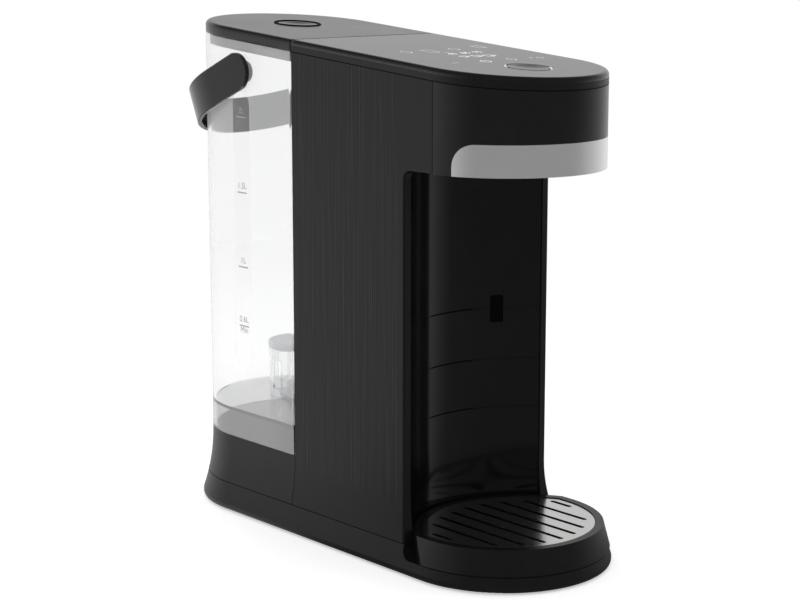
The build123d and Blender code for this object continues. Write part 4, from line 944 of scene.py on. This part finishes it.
def makeScrewHeads():
    # each head is a shallow dome with a cross let into it, over the CAD screw's flat head
    low, high = (Vector(corner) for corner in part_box("base_screws"))
    underside, step = low.z - recess["stand"], recess["fromAxis"]
    rows = (frontAxisY + step, (frontAxisY + backAxisY) / 2 + step, backAxisY - step)
    spots = [(side * (high.x - recess["radius"]), y) for y in rows for side in (-1, 1)]
    heads = []
    for x, y in spots:
        deselectAll()
        bpy.ops.mesh.primitive_cylinder_add(
            vertices=32, radius=recess["radius"] * recess["cover"], depth=recess["head"],
            location=(x, y, underside + recess["head"] / 2),
        )
        head = bpy.context.object
        applyPlace(head)
        applyModifier(head, "BEVEL", width=recess["rounding"], segments=3, limit_method="ANGLE")
        for turn in (0, pi / 2):
            bpy.ops.mesh.primitive_cube_add(
                size=1, location=(x, y, underside), rotation=(0, 0, turn),
                scale=(recess["arm"], recess["width"], 2 * recess["depth"]),
            )
            blade = bpy.context.object
            applyPlace(blade)
            cutWith(head, blade)
        heads.append(head)
    return joinPieces(heads, "screwHeads")


finishPiece(makeScrewHeads(), "body", madeOf["plainSteel"])


# floor, backdrop, lights and camera

studio = {
    "floorSize": 8.0, "floorColour": (0.80, 0.80, 0.80), "floorRough": 0.9,
    "floorLift": 0.50,   # added for the camera and through clear plastic, so that the open floor is white
    "fadeFrom": 0.35, "fadeTo": 1.1,
    "ambient": 0.55, "ambientColour": (0.9, 0.9, 0.9), "white": (1.0, 1.0, 1.0),
    "darkSide": (-0.35, -0.937, 0.0),   # direction in which the studio is unlit, as gloss shows it
    "darkLevel": 0.17, "brightLevel": 0.84, "darkEdge": 0.5, "brightEdge": -0.57,
    "ceilingFrom": 0.25, "ceilingTo": 0.6, "ceilingLevel": 0.14,
    "key": {"place": (-1.3, -1.1, 1.5), "aim": (0.0, 0.0, 0.15), "size": 1.0, "power": 14.0},
    "fill": {"place": (1.4, -1.2, 0.9), "aim": (0.0, 0.0, 0.15), "size": 1.2, "power": 7.0},
    "back": {"place": (0.1, 1.6, 1.3), "aim": (0.0, 0.0, 0.2), "size": 1.4, "power": 9.0},
}


def addGlossLevel(tree, place):
    # brightness of the studio in a direction, dark overhead and where one side is unlit
    direction = addVectorMath(tree, "NORMALIZE", place)["Vector"]
    side = addVectorMath(tree, "DOT_PRODUCT", direction, studio["darkSide"])["Value"]
    level = addRange(
        tree, side, studio["darkEdge"], studio["brightEdge"], studio["darkLevel"], studio["brightLevel"],
    )
    height = addNode(tree, "SeparateXYZ", Vector=direction)["Z"]
    overhead = addRange(tree, height, studio["ceilingFrom"], studio["ceilingTo"], kind="SMOOTHSTEP")
    return addNode(tree, "Mix", Factor=overhead, A=level, B=studio["ceilingLevel"])["Result"]


def addRayMasks(tree):
    # the rays of gloss, and those of the camera with what it sees through clear plastic
    path = addNode(tree, "LightPath")
    return path["Is Glossy Ray"], addMath(
        tree, "MAXIMUM", path["Is Camera Ray"], path["Is Transmission Ray"],
    )


def mixShaders(tree, mask, low, high):
    mixer = tree.nodes.new("ShaderNodeMixShader")
    for socket, value in zip(mixer.inputs, (mask, low, high)):
        tree.links.new(value, socket)
    return mixer.outputs["Shader"]


def makeWorld():
    world = bpy.data.worlds.new("studioWorld")
    bpy.context.scene.world = world
    world.use_nodes = True
    tree = world.node_tree
    ambient = tree.nodes["Background"]
    feedAll(tree, ambient, {"Color": opaque(studio["ambientColour"]), "Strength": studio["ambient"]})
    white = addNode(tree, "Background", Color=opaque(studio["white"]))["Background"]
    gloss = addNode(
        tree, "Background", Strength=addGlossLevel(tree, addNode(tree, "TexCoord")["Generated"]),
    )["Background"]
    glossy, seen = addRayMasks(tree)
    unseen = mixShaders(tree, glossy, ambient.outputs["Background"], gloss)
    feed(tree, tree.nodes["World Output"].inputs["Surface"], mixShaders(tree, seen, unseen, white))


def makeFloor():
    # pale and shadowed near the part, plain white further out, and clear from below
    deselectAll()
    bpy.ops.mesh.primitive_plane_add(size=studio["floorSize"], location=(0, 0, 0))
    floor = bpy.context.object
    floor.name = "studioFloor"
    material, tree = newMaterial("paleFloor")
    setShader(
        tree, Base_Color=opaque(studio["floorColour"]), Roughness=studio["floorRough"],
        Specular_IOR_Level=0.0,
    )
    pale = tree.nodes["Principled BSDF"].outputs["BSDF"]
    lifted = tree.nodes.new("ShaderNodeAddShader")
    lift = addNode(tree, "Emission", Strength=studio["floorLift"])["Emission"]
    for socket, value in zip(lifted.inputs, (pale, lift)):
        tree.links.new(value, socket)
    white = addNode(tree, "Emission")["Emission"]
    place = addPlace(tree)
    reach = addVectorMath(tree, "LENGTH", place)["Value"]
    fade = addRange(tree, reach, studio["fadeFrom"], studio["fadeTo"], kind="SMOOTHSTEP")
    gloss = addNode(tree, "Emission", Strength=addGlossLevel(tree, place))["Emission"]
    glossy, seen = addRayMasks(tree)
    faded = mixShaders(tree, fade, lifted.outputs["Shader"], white)
    above = mixShaders(tree, seen, mixShaders(tree, glossy, pale, gloss), faded)
    below = addNode(tree, "BsdfTransparent")["BSDF"]
    oneSided = mixShaders(tree, addNode(tree, "NewGeometry")["Backfacing"], above, below)
    feed(tree, tree.nodes["Material Output"].inputs["Surface"], oneSided)
    floor.data.materials.append(material)


def placeAndAim(name, data, spec):
    thing = bpy.data.objects.new(name, data)
    bpy.context.scene.collection.objects.link(thing)
    thing.location = spec["place"]
    ahead = Vector(spec["aim"]) - Vector(spec["place"])
    thing.rotation_euler = ahead.to_track_quat("-Z", "Y").to_euler()
    return thing


def addLight(name, spec):
    data = bpy.data.lights.new(name, "AREA")
    data.shape = "SQUARE"
    data.size = spec["size"]
    data.energy = spec["power"]
    light = placeAndAim(name, data, spec)
    light.visible_glossy = False   # the gloss shows the studio's own light and dark sides


makeWorld()
makeFloor()
for lightName in ("key", "fill", "back"):
    addLight(lightName, studio[lightName])

cameraSpec = {
    "place": (-0.7326, -0.8374, 0.3492), "aim": (-0.00228, -0.00891, 0.13835),
    "lens": 86.36, "sensor": 36.0,
}
cameraData = bpy.data.cameras.new("photoCamera")
cameraData.lens = cameraSpec["lens"]
cameraData.sensor_width = cameraSpec["sensor"]
bpy.context.scene.camera = placeAndAim("photoCamera", cameraData, cameraSpec)
bpy.context.scene.view_settings.view_transform = "Standard"
print("studio and camera ready")
